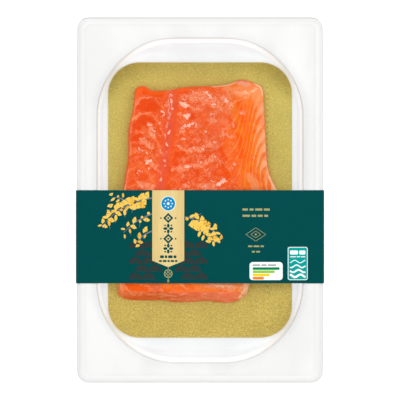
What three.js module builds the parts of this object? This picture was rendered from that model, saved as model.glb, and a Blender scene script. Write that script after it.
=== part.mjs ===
// A retail pack of smoked salmon loin, lying flat: a shallow thermoformed tray with a wide sealing
// flange, a gold-faced card in its recess, the loin on the card, a clear lidding film and a folded
// card sleeve round the middle. Millimetres, +Z up, +X across the pack, +Y towards its top end.
// The origin is on the surface that the pack lies on, under its middle.
import * as THREE from "three";

// Outlines of the pack and of the recess in it
const PACK_WIDTH = 150;
const PACK_LENGTH = 223;
const PACK_CORNER_RADIUS = 7;
const RECESS_WIDTH = 125;
const RECESS_LENGTH = 198.2;
const RECESS_CORNER_RADIUS = 48.5;
const RECESS_DEPTH = 14.5;

// Thicknesses of the sheets, and the air left between pieces that lie on each other
const SLEEVE_SHEET = 0.45;
const TRAY_SHEET = 0.6;
const CARD_SHEET = 0.7;
const FILM_SHEET = 0.15;
const LAY_GAP = 0.1;

// Heights, worked upwards from the surface
const TRAY_UNDERSIDE_Z = SLEEVE_SHEET + LAY_GAP;
const FLOOR_Z = TRAY_UNDERSIDE_Z + TRAY_SHEET;
const FLANGE_Z = FLOOR_Z + RECESS_DEPTH;
const CARD_Z = FLOOR_Z + LAY_GAP;
const LOIN_Z = CARD_Z + CARD_SHEET + LAY_GAP;
const FILM_Z = FLANGE_Z + LAY_GAP;
const SLEEVE_INNER_TOP_Z = FILM_Z + FILM_SHEET + LAY_GAP;

// Recess, from its floor upwards: how far each level lies inside the rim at the sides, at the ends
// and at the corners. Both ends have a ledge that fades out at the corners.
const RECESS_LEVELS = [
  { side: 3.9, end: 10.2, corner: 2.6, height: 0 },
  { side: 2.9, end: 8.6, corner: 2, height: 0.12 },
  { side: 2.1, end: 7.3, corner: 1.6, height: 0.55 },
  { side: 1.65, end: 6.2, corner: 1.35, height: 1.5 },
  { side: 1.45, end: 5.3, corner: 1.22, height: 2.5 },
  { side: 1.35, end: 4.2, corner: 1.13, height: 2.95 },
  { side: 1.25, end: 3.1, corner: 1.05, height: 3.4 },
  { side: 1.1, end: 2.3, corner: 0.95, height: 4.7 },
  { side: 0.5, end: 0.85, corner: 0.45, height: RECESS_DEPTH - 1.5 },
  { side: 0.25, end: 0.35, corner: 0.22, height: RECESS_DEPTH - 0.75 },
  { side: 0, end: 0, corner: 0, height: RECESS_DEPTH - 0.36 },
  { side: -0.6, end: -0.6, corner: -0.6, height: RECESS_DEPTH - 0.2 },
  { side: -2.6, end: -2.6, corner: -2.6, height: RECESS_DEPTH - 0.1 },
  { side: -6, end: -6, corner: -6, height: RECESS_DEPTH },
];

// Rounded edge of the flange
const RIM_WIDTH = 4.2;
const RIM_DROP = 1.9;
const RIM_TURN = THREE.MathUtils.degToRad(74);
const RIM_STEPS = 4;
const RIM_CORNER_SHARE = 0.6;

// Card in the recess: its corners ride up on the tray's tight corners
const CARD_WIDTH = 113.3;
const CARD_LENGTH = 169.4;
const CARD_CORNER_RADIUS = 19.7;
const CARD_LIFT_TOP = 2.4;
const CARD_LIFT_BOTTOM = 1.8;
const CARD_FOLD_DISTANCE = 83;
const CARD_FOLD_REACH = 17.6;
const CARD_FOLD_NORMAL = new THREE.Vector2(0.546, 0.838);
const CARD_BANDS = [26, 19, 13.5, 9, 5.5, 2.5, 0];
const CARD_CORNER_SHARE = 0.35;

// Film, welded on the flat of the flange
const FILM_INSET = 4.4;
const FILM_CORNER_RADIUS = 4;

// Sleeve: where its band lies along the pack, and its folds
const SLEEVE_TOP_Y = 6;
const SLEEVE_BAND = 56.8;
const SLEEVE_PLAY = 0.25;
const SLEEVE_UPRIGHT = 3.4;
const SLEEVE_FOOT_WIDTH = 123;
const SLEEVE_FOLD_RADIUS = 0.9;
const SLEEVE_SLANT_SHARE = 0.4;
const FOLD_STEPS = 3;
const SEAM_X = 24;
const SEAM_WIDTH = 0.5;
const SEAM_DEPTH = 0.18;

// Loin: the four sides of its outline as it lies, each from its lower or left end
const BOTTOM_LEFT = [-50.2, -57.9];
const BOTTOM_RIGHT = [28.7, -58.2];
const TOP_LEFT = [-39.9, 67.3];
const TOP_RIGHT = [38.7, 66.6];
const LEFT_SIDE = [[-48.6, -25], [-46.6, 10], [-44.2, 26], [-43.9, 43], [-41, 56]];
const RIGHT_SIDE = [
  [32.5, -46], [40.5, -34], [47.8, -20], [49.8, -7], [47.6, 5],
  [43.9, 12.6], [41.8, 20], [40.7, 31], [39.7, 49],
];
const BOTTOM_SIDE = [
  [-46.8, -60.3], [-39.3, -61.3], [-29, -61.4], [-22.6, -61.2], [-17.5, -62.2],
  [-8, -62.5], [5, -61.9], [14.3, -62.9], [23.4, -61.7],
];
const TOP_SIDE = [
  [-37.8, 69.4], [-34.1, 69.9], [-29.8, 67.5], [-19, 67.6], [-11, 69.1],
  [-1, 69.8], [9.8, 70.1], [18.6, 71.6], [24.8, 73.8], [31.5, 72.4], [37.1, 70.1],
];

// Loin: thickness, and the widths of its sloping sides seen from above
const LOIN_THICKNESS = 12.9;
const LOIN_FOOT_INSET = 0.7;
const LOIN_FOOT_HEIGHT = 1.1;
const LOIN_MEAN_WIDTH = 88;
const LOIN_MEAN_LENGTH = 128;
const BELLY_FALL = 5;
const BACK_FALL = 1.3;
const NARROW_END_FALL = 0.12;
const SIDE_ROUND = 2.6;
const TOP_ROUND = 2.1;
const ROUND_FULLNESS = 2.3;
const CUT_SLOPE = 5.6;
const CUT_FULLNESS = 1.35;
const FLAP_SLOPE = 6;
const FLAP_PLACE = 0.84;
const FLAP_SPREAD = 0.11;

// Loin: the furrow between the back and the belly muscle
const FURROW_FOOT_X = -27.5;
const FURROW_SWING = 10.4;
const FURROW_FROM_Y = -25;
const FURROW_TO_Y = 68;
const FURROW_DEPTH = 1.3;
const FURROW_WIDTH = 1.9;

// Loin: the flakes, which end in arches left of the furrow and in long arms right of it
const FLAKE_RELIEF = 0.34;
const FLAKE_STEP_SHARE = 0.25;
const FLAKE_FADE = 34;
const FLAKE_CLEARANCE = 3;
const ARCH_PITCH = 10.9;
const ARCH_FOOT_Y = 36.9;
const ARCH_RISE = 15.5;
const ARCH_REACH = 15.5;
const ARM_PITCH = 8;
const ARM_END_Y = 33.5;
const ARM_SLOPE = 0.6;
const ARM_SWEEP = 20.4;
const SWEEP_PLACE = 11;
const SWEEP_SPREAD = 6;

// Loin: uneven lumps, each the product of two waves with their turns per millimetre and their start
const LUMPS = [
  { height: 0.3, first: [0.19, 0, 1.3], second: [0, 0.16, 1.17] },
  { height: 0.22, first: [0.43, -0.31, 2], second: [0.12, 0.39, 1.57] },
  { height: 0.1, first: [0.83, 0.22, 0], second: [-0.3, 0.71, 1] },
];

// Steps of the curved surfaces
const LOIN_COLUMNS = 46;
const LOIN_ROWS = 66;
const EDGE_CROWDING = 0.6;
const ARC_STEPS = 14;

function smoothstep(low, high, value) {
  const t = THREE.MathUtils.clamp((value - low) / (high - low), 0, 1);
  return t * t * (3 - 2 * t);
}

function bell(value, place, spread) {
  return Math.exp(-(((value - place) / spread) ** 2));
}

function indexedGeometry(points, faces) {
  const geometry = new THREE.BufferGeometry();
  const coordinates = points.flatMap((p) => [p.x, p.y, p.z]);
  geometry.setAttribute("position", new THREE.Float32BufferAttribute(coordinates, 3));
  geometry.setIndex(faces);
  geometry.computeVertexNormals();
  return geometry;
}

// A closed loop round a rectangle with rounded corners, anticlockwise from +X.
function roundedLoop({ halfWidth, halfLength, radius, z }) {
  const loop = [];
  for (let corner = 0; corner < 4; corner++) {
    const start = (corner * Math.PI) / 2;
    const middle = start + Math.PI / 4;
    const centreX = Math.sign(Math.cos(middle)) * (halfWidth - radius);
    const centreY = Math.sign(Math.sin(middle)) * (halfLength - radius);
    for (let step = 0; step <= ARC_STEPS; step++) {
      const angle = start + (step / ARC_STEPS) * (Math.PI / 2);
      const x = centreX + radius * Math.cos(angle);
      const y = centreY + radius * Math.sin(angle);
      loop.push(new THREE.Vector3(x, y, z));
    }
  }
  return loop;
}

// Joins loops of equal length into one closed body, from a middle point, over the loops, to another.
function closedLoft(loops, firstMiddle, lastMiddle) {
  const size = loops[0].length;
  const at = (loop, point) => 1 + loop * size + (point % size);
  const last = 1 + loops.length * size;
  const faces = [];
  for (let point = 0; point < size; point++) {
    faces.push(0, at(0, point), at(0, point + 1));
    for (let loop = 0; loop + 1 < loops.length; loop++) {
      faces.push(at(loop, point), at(loop + 1, point), at(loop + 1, point + 1));
      faces.push(at(loop, point), at(loop + 1, point + 1), at(loop, point + 1));
    }
    faces.push(at(loops.length - 1, point), last, at(loops.length - 1, point + 1));
  }
  return indexedGeometry([firstMiddle, ...loops.flat(), lastMiddle], faces);
}

// The loops of a sheet's underside: each point of the upper side, moved back along its normal.
function undersideOf(loops, middle, thickness) {
  const size = loops[0].length;
  return loops.map((loop, index) => {
    const outer = loops[Math.min(index + 1, loops.length - 1)];
    return loop.map((point, i) => {
      const inner = index === 0 ? middle : loops[index - 1][i];
      const along = loop[(i + 1) % size].clone().sub(loop[(i - 1 + size) % size]);
      const across = outer[i].clone().sub(inner);
      const normal = across.cross(along).normalize();
      return point.clone().addScaledVector(normal, -thickness);
    });
  });
}

// Tray

// The recess's rim moved inwards, by distances that change evenly from side to corner to end.
function recessLoop({ side, end, corner, height }) {
  const halfWidth = RECESS_WIDTH / 2;
  const halfLength = RECESS_LENGTH / 2;
  const radius = RECESS_CORNER_RADIUS;
  const rim = roundedLoop({ halfWidth, halfLength, radius, z: FLOOR_Z + height });
  for (const point of rim) {
    const outwardX = (Math.abs(point.x) - halfWidth) / radius + 1;
    const outwardY = (Math.abs(point.y) - halfLength) / radius + 1;
    const towardsEnd = Math.atan2(outwardY, outwardX) / (Math.PI / 2);
    const past = smoothstep(0.5, 1, towardsEnd);
    const before = smoothstep(0, 0.5, towardsEnd);
    const inset = side + (corner - side) * before + (end - corner) * past;
    point.x -= Math.sign(point.x) * outwardX * inset;
    point.y -= Math.sign(point.y) * outwardY * inset;
  }
  return rim;
}

function rimLoop(step) {
  const turn = (step / RIM_STEPS) * RIM_TURN;
  const inset = RIM_WIDTH * (1 - Math.sin(turn) / Math.sin(RIM_TURN));
  const drop = (RIM_DROP * (1 - Math.cos(turn))) / (1 - Math.cos(RIM_TURN));
  const radius = PACK_CORNER_RADIUS - inset * RIM_CORNER_SHARE;
  return roundedLoop({
    halfWidth: PACK_WIDTH / 2 - inset,
    halfLength: PACK_LENGTH / 2 - inset,
    radius,
    z: FLANGE_Z - drop,
  });
}

function trayGeometry() {
  const upper = RECESS_LEVELS.map(recessLoop);
  for (let step = 0; step <= RIM_STEPS; step++) upper.push(rimLoop(step));
  const floorMiddle = new THREE.Vector3(0, 0, FLOOR_Z);
  const undersideMiddle = new THREE.Vector3(0, 0, TRAY_UNDERSIDE_Z);
  const lower = undersideOf(upper, floorMiddle, TRAY_SHEET).reverse();
  return closedLoft([...upper, ...lower], floorMiddle, undersideMiddle);
}

// Card

function cardLift(x, y) {
  const outward = CARD_FOLD_NORMAL.x * Math.abs(x) + CARD_FOLD_NORMAL.y * Math.abs(y);
  const lift = y > 0 ? CARD_LIFT_TOP : CARD_LIFT_BOTTOM;
  return lift * smoothstep(0, CARD_FOLD_REACH, outward - CARD_FOLD_DISTANCE);
}

function cardLoops(base) {
  return CARD_BANDS.map((inset) => {
    const radius = CARD_CORNER_RADIUS - inset * CARD_CORNER_SHARE;
    const loop = roundedLoop({
      halfWidth: CARD_WIDTH / 2 - inset,
      halfLength: CARD_LENGTH / 2 - inset,
      radius,
      z: base,
    });
    return loop.map((p) => p.setZ(base + cardLift(p.x, p.y)));
  });
}

function cardGeometry() {
  const face = cardLoops(CARD_Z + CARD_SHEET);
  const back = cardLoops(CARD_Z).reverse();
  const faceMiddle = new THREE.Vector3(0, 0, CARD_Z + CARD_SHEET);
  const backMiddle = new THREE.Vector3(0, 0, CARD_Z);
  return closedLoft([...face, ...back], faceMiddle, backMiddle);
}

// Film

function filmGeometry() {
  const edge = {
    halfWidth: PACK_WIDTH / 2 - FILM_INSET,
    halfLength: PACK_LENGTH / 2 - FILM_INSET,
    radius: FILM_CORNER_RADIUS,
  };
  const upper = roundedLoop({ ...edge, z: FILM_Z + FILM_SHEET });
  const lower = roundedLoop({ ...edge, z: FILM_Z });
  const upperMiddle = new THREE.Vector3(0, 0, FILM_Z + FILM_SHEET);
  const lowerMiddle = new THREE.Vector3(0, 0, FILM_Z);
  return closedLoft([upper, lower], upperMiddle, lowerMiddle);
}

// Sleeve

// A closed path through the corners of a folded strip, with each fold rounded by a short curve.
function foldedPath(path, corners, radius) {
  const count = corners.length;
  corners.forEach((corner, i) => {
    const towards = (other) => other.clone().sub(corner).setLength(radius).add(corner);
    const before = towards(corners[(i - 1 + count) % count]);
    const after = towards(corners[(i + 1) % count]);
    if (i === 0) path.moveTo(before.x, before.y);
    else path.lineTo(before.x, before.y);
    path.quadraticCurveTo(corner.x, corner.y, after.x, after.y);
  });
  path.closePath();
  return path;
}

// Corners of the strip's section in X and Z, anticlockwise, moved out from its inner face.
function sleeveCorners(out) {
  const half = PACK_WIDTH / 2 + SLEEVE_PLAY + out;
  const top = SLEEVE_INNER_TOP_Z + out;
  const waist = SLEEVE_INNER_TOP_Z - SLEEVE_UPRIGHT - SLEEVE_SLANT_SHARE * out;
  const foot = SLEEVE_FOOT_WIDTH / 2 + SLEEVE_SLANT_SHARE * out;
  const right = [
    [foot, SLEEVE_SHEET - out],
    [half, waist],
    [half, top],
  ];
  const left = right.map(([x, z]) => [-x, z]).reverse();
  return [...right, ...left].map(([x, z]) => new THREE.Vector2(x, z));
}

// The glued lap shows on the underside as a shallow line across the band.
function withSeam(shape) {
  const points = shape.extractPoints(FOLD_STEPS).shape;
  const onUnderside = (p) => Math.abs(p.y) < Number.EPSILON;
  const before = points.findIndex((p, i) => {
    const next = points[(i + 1) % points.length];
    return onUnderside(p) && onUnderside(next) && p.x < SEAM_X && next.x > SEAM_X;
  });
  const seam = [
    new THREE.Vector2(SEAM_X - SEAM_WIDTH / 2, 0),
    new THREE.Vector2(SEAM_X, SEAM_DEPTH),
    new THREE.Vector2(SEAM_X + SEAM_WIDTH / 2, 0),
  ];
  points.splice(before + 1, 0, ...seam);
  return new THREE.Shape(points);
}

function sleeveGeometry() {
  const outside = foldedPath(new THREE.Shape(), sleeveCorners(SLEEVE_SHEET), SLEEVE_FOLD_RADIUS);
  const section = withSeam(outside);
  section.holes.push(foldedPath(new THREE.Path(), sleeveCorners(0), SLEEVE_FOLD_RADIUS / 2));
  const band = new THREE.ExtrudeGeometry(section, {
    depth: SLEEVE_BAND,
    bevelEnabled: false,
    curveSegments: FOLD_STEPS,
  });
  return band.rotateX(Math.PI / 2);
}

// Loin

function curveThrough(...points) {
  const places = points.map(([x, y]) => new THREE.Vector3(x, y, 0));
  return new THREE.CatmullRomCurve3(places, false, "centripetal");
}

const leftSide = curveThrough(BOTTOM_LEFT, ...LEFT_SIDE, TOP_LEFT);
const rightSide = curveThrough(BOTTOM_RIGHT, ...RIGHT_SIDE, TOP_RIGHT);
const bottomSide = curveThrough(BOTTOM_LEFT, ...BOTTOM_SIDE, BOTTOM_RIGHT);
const topSide = curveThrough(TOP_LEFT, ...TOP_SIDE, TOP_RIGHT);

// A point of the patch that the four sides span, at share u across and share v along.
function loinPlace(u, v) {
  const between = (a, b, t) => a.clone().lerp(b, t);
  const upward = between(bottomSide.getPointAt(u), topSide.getPointAt(u), v);
  const sideways = between(leftSide.getPointAt(v), rightSide.getPointAt(v), u);
  const low = between(leftSide.getPointAt(0), rightSide.getPointAt(0), u);
  const high = between(leftSide.getPointAt(1), rightSide.getPointAt(1), u);
  return upward.add(sideways).sub(between(low, high, v));
}

// Spreads steps over 0 to 1, closer together at both ends, where the sides fall away.
function crowdedEnds(t) {
  const eased = 0.5 - 0.5 * Math.cos(Math.PI * t);
  return THREE.MathUtils.lerp(t, eased, EDGE_CROWDING);
}

function furrowX(y) {
  return FURROW_FOOT_X + FURROW_SWING * smoothstep(FURROW_FROM_Y, FURROW_TO_Y, y);
}

// How many flakes up the loin a place is. Left of the furrow a flake's end is an arch. Right of it
// the end is an arm that leaves the furrow low, turns up along the belly and meets its edge flat.
function flakePhase(u, { x, y }) {
  const distance = x - furrowX(y);
  if (distance < 0) {
    const rise = ARCH_RISE * (1 - (distance / ARCH_REACH + 1) ** 2);
    return (y - ARCH_FOOT_Y - rise) / ARCH_PITCH;
  }
  const inward = (1 - u) * LOIN_MEAN_WIDTH;
  const turned = (place) => Math.tanh((place - SWEEP_PLACE) / SWEEP_SPREAD);
  const drop = ARM_SLOPE * inward + ARM_SWEEP * (turned(inward) - turned(0));
  return (y - ARM_END_Y + drop) / ARM_PITCH;
}

// Flakes overlap like low shingles: each rises slowly and ends in a short step.
function flakes(u, place) {
  const distance = place.x - furrowX(place.y);
  const phase = flakePhase(u, place);
  const share = phase - Math.floor(phase);
  const rising = share / (1 - FLAKE_STEP_SHARE);
  const falling = (1 - share) / FLAKE_STEP_SHARE;
  const clear = smoothstep(0, FLAKE_CLEARANCE, Math.abs(distance));
  return FLAKE_RELIEF * (Math.min(rising, falling) - 0.5) * clear * bell(distance, 0, FLAKE_FADE);
}

function lumps(x, y) {
  const wave = ([turnsX, turnsY, start]) => Math.sin(turnsX * x + turnsY * y + start);
  return LUMPS.reduce((sum, { height, first, second }) => sum + height * wave(first) * wave(second), 0);
}

// The share of its height that a rounded side, or the slanted cut, has reached this far in.
function roundedRise(distance, width) {
  const t = THREE.MathUtils.clamp(distance / width, 0, 1);
  return (1 - (1 - t) ** ROUND_FULLNESS) ** (1 / ROUND_FULLNESS);
}

function cutRise(distance, width) {
  const t = THREE.MathUtils.clamp(distance / width, 0, 1);
  return 1 - (1 - t) ** CUT_FULLNESS;
}

function loinHeight(u, v, place) {
  const { x, y } = place;
  const falls = BELLY_FALL * smoothstep(0.45, 1.05, u) + BACK_FALL * (1 - smoothstep(0, 0.25, u));
  const taper = 1 - NARROW_END_FALL * (1 - smoothstep(0, 0.35, v));
  const furrow = FURROW_DEPTH * bell(x, furrowX(y), FURROW_WIDTH);
  const body = (LOIN_THICKNESS - falls) * taper + lumps(x, y) + flakes(u, place) - furrow;
  const topSlope = TOP_ROUND + FLAP_SLOPE * bell(u, FLAP_PLACE, FLAP_SPREAD);
  const rise =
    roundedRise(u * LOIN_MEAN_WIDTH, SIDE_ROUND) *
    roundedRise((1 - u) * LOIN_MEAN_WIDTH, SIDE_ROUND) *
    roundedRise((1 - v) * LOIN_MEAN_LENGTH, topSlope) *
    cutRise(v * LOIN_MEAN_LENGTH, CUT_SLOPE);
  return LOIN_FOOT_HEIGHT + (body - LOIN_FOOT_HEIGHT) * rise;
}

function loinGeometry() {
  const points = [];
  for (let row = 0; row <= LOIN_ROWS; row++) {
    for (let column = 0; column <= LOIN_COLUMNS; column++) {
      const u = crowdedEnds(column / LOIN_COLUMNS);
      const v = crowdedEnds(row / LOIN_ROWS);
      const place = loinPlace(u, v);
      points.push(place.setZ(LOIN_Z + loinHeight(u, v, place)));
    }
  }
  const at = (column, row) => row * (LOIN_COLUMNS + 1) + column;
  const faces = [];
  for (let row = 0; row < LOIN_ROWS; row++) {
    for (let column = 0; column < LOIN_COLUMNS; column++) {
      const [a, b] = [at(column, row), at(column + 1, row)];
      const [c, d] = [at(column + 1, row + 1), at(column, row + 1)];
      if ((column + row) % 2) faces.push(a, b, c, a, c, d);
      else faces.push(a, b, d, b, c, d);
    }
  }
  addFoot(points, faces, loinRim(at));
  return indexedGeometry(points, faces);
}

// The grid's outer points, anticlockwise.
function loinRim(at) {
  const rim = [];
  for (let column = 0; column < LOIN_COLUMNS; column++) rim.push(at(column, 0));
  for (let row = 0; row < LOIN_ROWS; row++) rim.push(at(LOIN_COLUMNS, row));
  for (let column = LOIN_COLUMNS; column > 0; column--) rim.push(at(column, LOIN_ROWS));
  for (let row = LOIN_ROWS; row > 0; row--) rim.push(at(0, row));
  return rim;
}

// Closes the loin below its rim: a short wall that draws in to the flat underside.
function addFoot(points, faces, rim) {
  const first = points.length;
  rim.forEach((index, i) => {
    const before = points[rim[(i - 1 + rim.length) % rim.length]];
    const after = points[rim[(i + 1) % rim.length]];
    const inward = new THREE.Vector2(before.y - after.y, after.x - before.x);
    const { x, y } = inward.setLength(LOIN_FOOT_INSET).add(points[index]);
    points.push(new THREE.Vector3(x, y, LOIN_Z));
  });
  rim.forEach((index, i) => {
    const next = (i + 1) % rim.length;
    faces.push(index, first + i, first + next);
    faces.push(index, first + next, rim[next]);
  });
  const underside = points.slice(first).map((p) => new THREE.Vector2(p.x, p.y));
  for (const [a, b, c] of THREE.ShapeUtils.triangulateShape(underside, [])) {
    faces.push(first + a, first + c, first + b);
  }
}

// The whole pack

function piece(name, geometry, finish) {
  const mesh = new THREE.Mesh(geometry, new THREE.MeshStandardMaterial(finish));
  mesh.name = name;
  return mesh;
}

const whitePlastic = { color: 0xf7f7f6, roughness: 0.3, metalness: 0 };
const goldCard = { color: 0xcab560, roughness: 0.45, metalness: 0.6 };
const salmonFlesh = { color: 0xf4632c, roughness: 0.25, metalness: 0 };
const clearFilm = { color: 0xffffff, roughness: 0.05, metalness: 0, transparent: true, opacity: 0.12 };
const printedCard = { color: 0x044e4c, roughness: 0.55, metalness: 0 };

const sleeve = piece("sleeve", sleeveGeometry(), printedCard);
sleeve.position.y = SLEEVE_TOP_Y;

const pack = new THREE.Group();
pack.add(piece("tray", trayGeometry(), whitePlastic));
pack.add(piece("gold_card", cardGeometry(), goldCard));
pack.add(piece("salmon_loin", loinGeometry(), salmonFlesh));
pack.add(piece("lid_film", filmGeometry(), clearFilm));
pack.add(sleeve);

export default pack;
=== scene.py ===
"""A retail pack of smoked salmon loin, seen from straight above: a white tray with a wide flange, a
gold-faced card, the loin, a clear lid film and a printed card sleeve.

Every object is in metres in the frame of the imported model. Sizes below are in millimetres, and those
of the stage in metres."""
import math
import random
import bmesh
import bpy
import numpy as np
from bpy.props import FloatProperty, FloatVectorProperty, IntProperty, PointerProperty
from mathutils import Matrix, Vector, noise
from mathutils.kdtree import KDTree


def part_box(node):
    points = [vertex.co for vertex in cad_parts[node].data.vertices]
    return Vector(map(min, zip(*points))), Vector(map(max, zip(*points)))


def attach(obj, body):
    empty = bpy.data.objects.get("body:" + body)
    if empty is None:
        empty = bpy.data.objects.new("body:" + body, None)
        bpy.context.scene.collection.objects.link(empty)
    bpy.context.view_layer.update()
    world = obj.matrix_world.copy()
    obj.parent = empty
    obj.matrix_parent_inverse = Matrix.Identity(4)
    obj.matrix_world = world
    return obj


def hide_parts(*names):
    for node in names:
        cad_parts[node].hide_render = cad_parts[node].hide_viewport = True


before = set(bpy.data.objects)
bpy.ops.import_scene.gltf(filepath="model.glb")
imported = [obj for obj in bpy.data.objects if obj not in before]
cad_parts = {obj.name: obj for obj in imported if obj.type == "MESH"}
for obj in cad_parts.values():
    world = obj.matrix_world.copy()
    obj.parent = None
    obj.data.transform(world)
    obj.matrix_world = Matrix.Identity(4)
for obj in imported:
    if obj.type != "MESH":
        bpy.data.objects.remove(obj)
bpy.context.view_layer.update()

bl_info = {
    "name": "Smoked salmon loin pack",
    "version": (1, 0, 0),
    "blender": (4, 5, 0),
    "location": "3D View > Sidebar > Salmon pack",
    "description": "Dresses the packed model of a smoked salmon loin in its tray, film and sleeve",
    "category": "Object",
}

MM = 0.001


def box_mm(node):
    """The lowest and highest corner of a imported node, in millimetres."""
    low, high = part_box(node)
    return Vector(low) / MM, Vector(high) / MM


TRAY_LOW, TRAY_HIGH = box_mm("tray")
CARD_HIGH = box_mm("gold_card")[1]
LOIN_LOW, LOIN_HIGH = box_mm("salmon_loin")
FILM_LOW = box_mm("lid_film")[0]
SLEEVE_LOW, SLEEVE_HIGH = box_mm("sleeve")

# Outlines from above: the recess in the tray, the card in it, and the pack
RECESS_HALF = (62.5, 99.1)
RECESS_CORNER = 48.5
CARD_CORNER = 19.7
PACK_CORNER = 7.0

# Bands of painted light and shade in the recess's ends, as distances from its outline
LEDGE_BAND = (-7.8, -5.5)
GROOVE_BAND = (-4.7, -3.1)

# How far in the recess's line lies at its flat upper end, and what takes its shades away there
FLAT_END_SHIFT = 0.45
FLAT_END_FADE = -2.2

# The way outwards along which the card's corners bend up, in its upper right quarter
CARD_FOLD_WAY = (0.546, 0.838)

# Sleeve: its board, and the layers of print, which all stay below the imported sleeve's top
FACE_Z = SLEEVE_HIGH.z - 0.09
PRINT_DEPTH = 0.06
UNDER_INK_Z = FACE_Z + 0.01
LOW_INK_Z = FACE_Z + 0.02
MIDDLE_INK_Z = FACE_Z + 0.04
HIGH_INK_Z = FACE_Z + 0.06
TOP_INK_Z = FACE_Z + 0.08
SIDE_TWIG_Z = LOW_INK_Z - 0.003
LEAF_Z = FACE_Z + 0.03
LEAF_STEP = 0.009
LEAF_LEVELS = 6
SLEEVE_MIDDLE_Y = (SLEEVE_LOW.y + SLEEVE_HIGH.y) / 2

# Loin: the furrow between back and belly, and the flakes on both sides of it, as in the solid
FURROW_FOOT_X = -27.5
FURROW_SWING = 10.4
FURROW_FROM_Y = -25.0
FURROW_TO_Y = 68.0
ARCH_PITCH = 10.9
ARCH_FOOT_Y = 36.9
ARCH_RISE = 15.5
ARCH_REACH = 15.5
ARM_PITCH = 8.0
ARM_END_Y = 33.5
ARM_SLOPE = 0.6
ARM_SWEEP = 20.4
SWEEP_PLACE = 11.0
SWEEP_SPREAD = 6.0
CUT_TOP_Y = -56.6
RIM_HEIGHT = 1.5
SIDE_FULLNESS = 0.35
FILM_CLEARANCE = 0.15

# How far, and how finely, the marks on the loin's face are bent out of shape
WARP = 1.1
WARP_SCALE = 0.45

# Marks on the loin's face. Each goes from one place to another and has a half width.

# Raised drops of fat and water, with painted highlights (painted glints) laid on them
BEAD_GLINTS = (
    (-17.7, 64.0, -17.6, 63.8, 0.7),
    (-17.6, 61.3, -17.4, 58.4, 0.55),
    (-17.1, 56.6, -16.9, 55.8, 0.65),
    (-18.8, 42.0, -19.0, 40.7, 0.9),
    (-20.2, 34.7, -20.3, 33.4, 0.65),
    (-20.4, 29.6, -20.6, 28.6, 0.4),
    (-21.7, 24.1, -21.4, 23.7, 0.65),
    (-22.0, 20.9, -21.2, 21.2, 0.45),
    (-24.0, 11.9, -23.6, 12.6, 0.55),
    (-23.4, 54.1, -22.4, 53.9, 0.45),
    (-22.4, 53.4, -22.6, 51.9, 0.5),
    (-27.2, 50.4, -27.1, 50.2, 0.5),
    (-25.0, 47.8, -24.8, 46.6, 0.55),
    (-31.4, 46.3, -30.6, 45.4, 0.55),
    (-28.6, 42.0, -27.9, 41.7, 0.5),
    (-36.2, 41.2, -34.0, 40.9, 0.35),
    (-37.6, 31.4, -34.2, 29.7, 0.4),
    (-33.4, 29.0, -32.0, 27.2, 0.5),
    (-32.6, 22.6, -29.8, 23.9, 1.0),
    (-31.2, 19.7, -30.6, 19.3, 0.8),
    (-39.2, 18.4, -35.6, 17.8, 0.4),
    (-38.6, 16.4, -38.4, 16.3, 0.45),
    (-11.6, 59.4, -8.2, 57.6, 1.35),
    (-9.9, 61.2, -9.0, 60.6, 0.6),
    (-9.2, 51.2, -6.4, 52.0, 0.7),
    (-8.2, 51.6, -8.1, 49.8, 0.8),
    (-12.0, 43.7, -9.6, 44.0, 0.4),
    (-8.3, 44.8, -6.2, 45.5, 1.05),
    (-5.4, 46.7, -3.4, 46.6, 0.45),
    (-2.6, 46.0, -2.6, 44.8, 0.4),
    (-11.2, 36.4, -10.2, 37.4, 0.35),
    (-9.9, 37.4, -8.8, 36.7, 0.35),
    (-14.0, 33.4, -13.0, 32.4, 0.4),
    (-3.9, 32.4, -3.4, 31.9, 0.55),
    (0.7, 31.8, 1.6, 31.5, 0.75),
    (7.4, 35.2, 9.4, 35.0, 0.5),
    (-8.6, 20.2, -5.6, 20.3, 0.75),
    (0.0, 22.9, 0.6, 22.0, 0.75),
    (8.8, 27.1, 9.6, 27.3, 0.45),
    (5.2, 64.2, 6.3, 62.6, 0.95),
    (8.0, 58.6, 9.2, 58.4, 0.7),
    (2.9, 42.4, 3.3, 42.0, 0.7),
    (3.6, 66.6, 4.4, 65.2, 0.5),
    (12.4, 61.6, 13.0, 60.8, 0.45),
    (6.6, 51.4, 7.8, 52.6, 0.4),
    (15.6, 61.0, 17.4, 60.2, 0.8),
    (11.7, 45.5, 11.9, 45.4, 0.45),
    (21.0, 21.6, 21.2, 21.4, 0.65),
    (19.8, 19.8, 20.0, 19.6, 0.5),
    (10.4, 8.6, 15.2, 12.4, 1.15),
    (2.0, 8.8, 3.4, 8.4, 0.7),
    (-12.4, 6.5, -11.4, 6.6, 0.7),
    (6.9, 11.5, 7.4, 11.3, 0.45),
)

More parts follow.
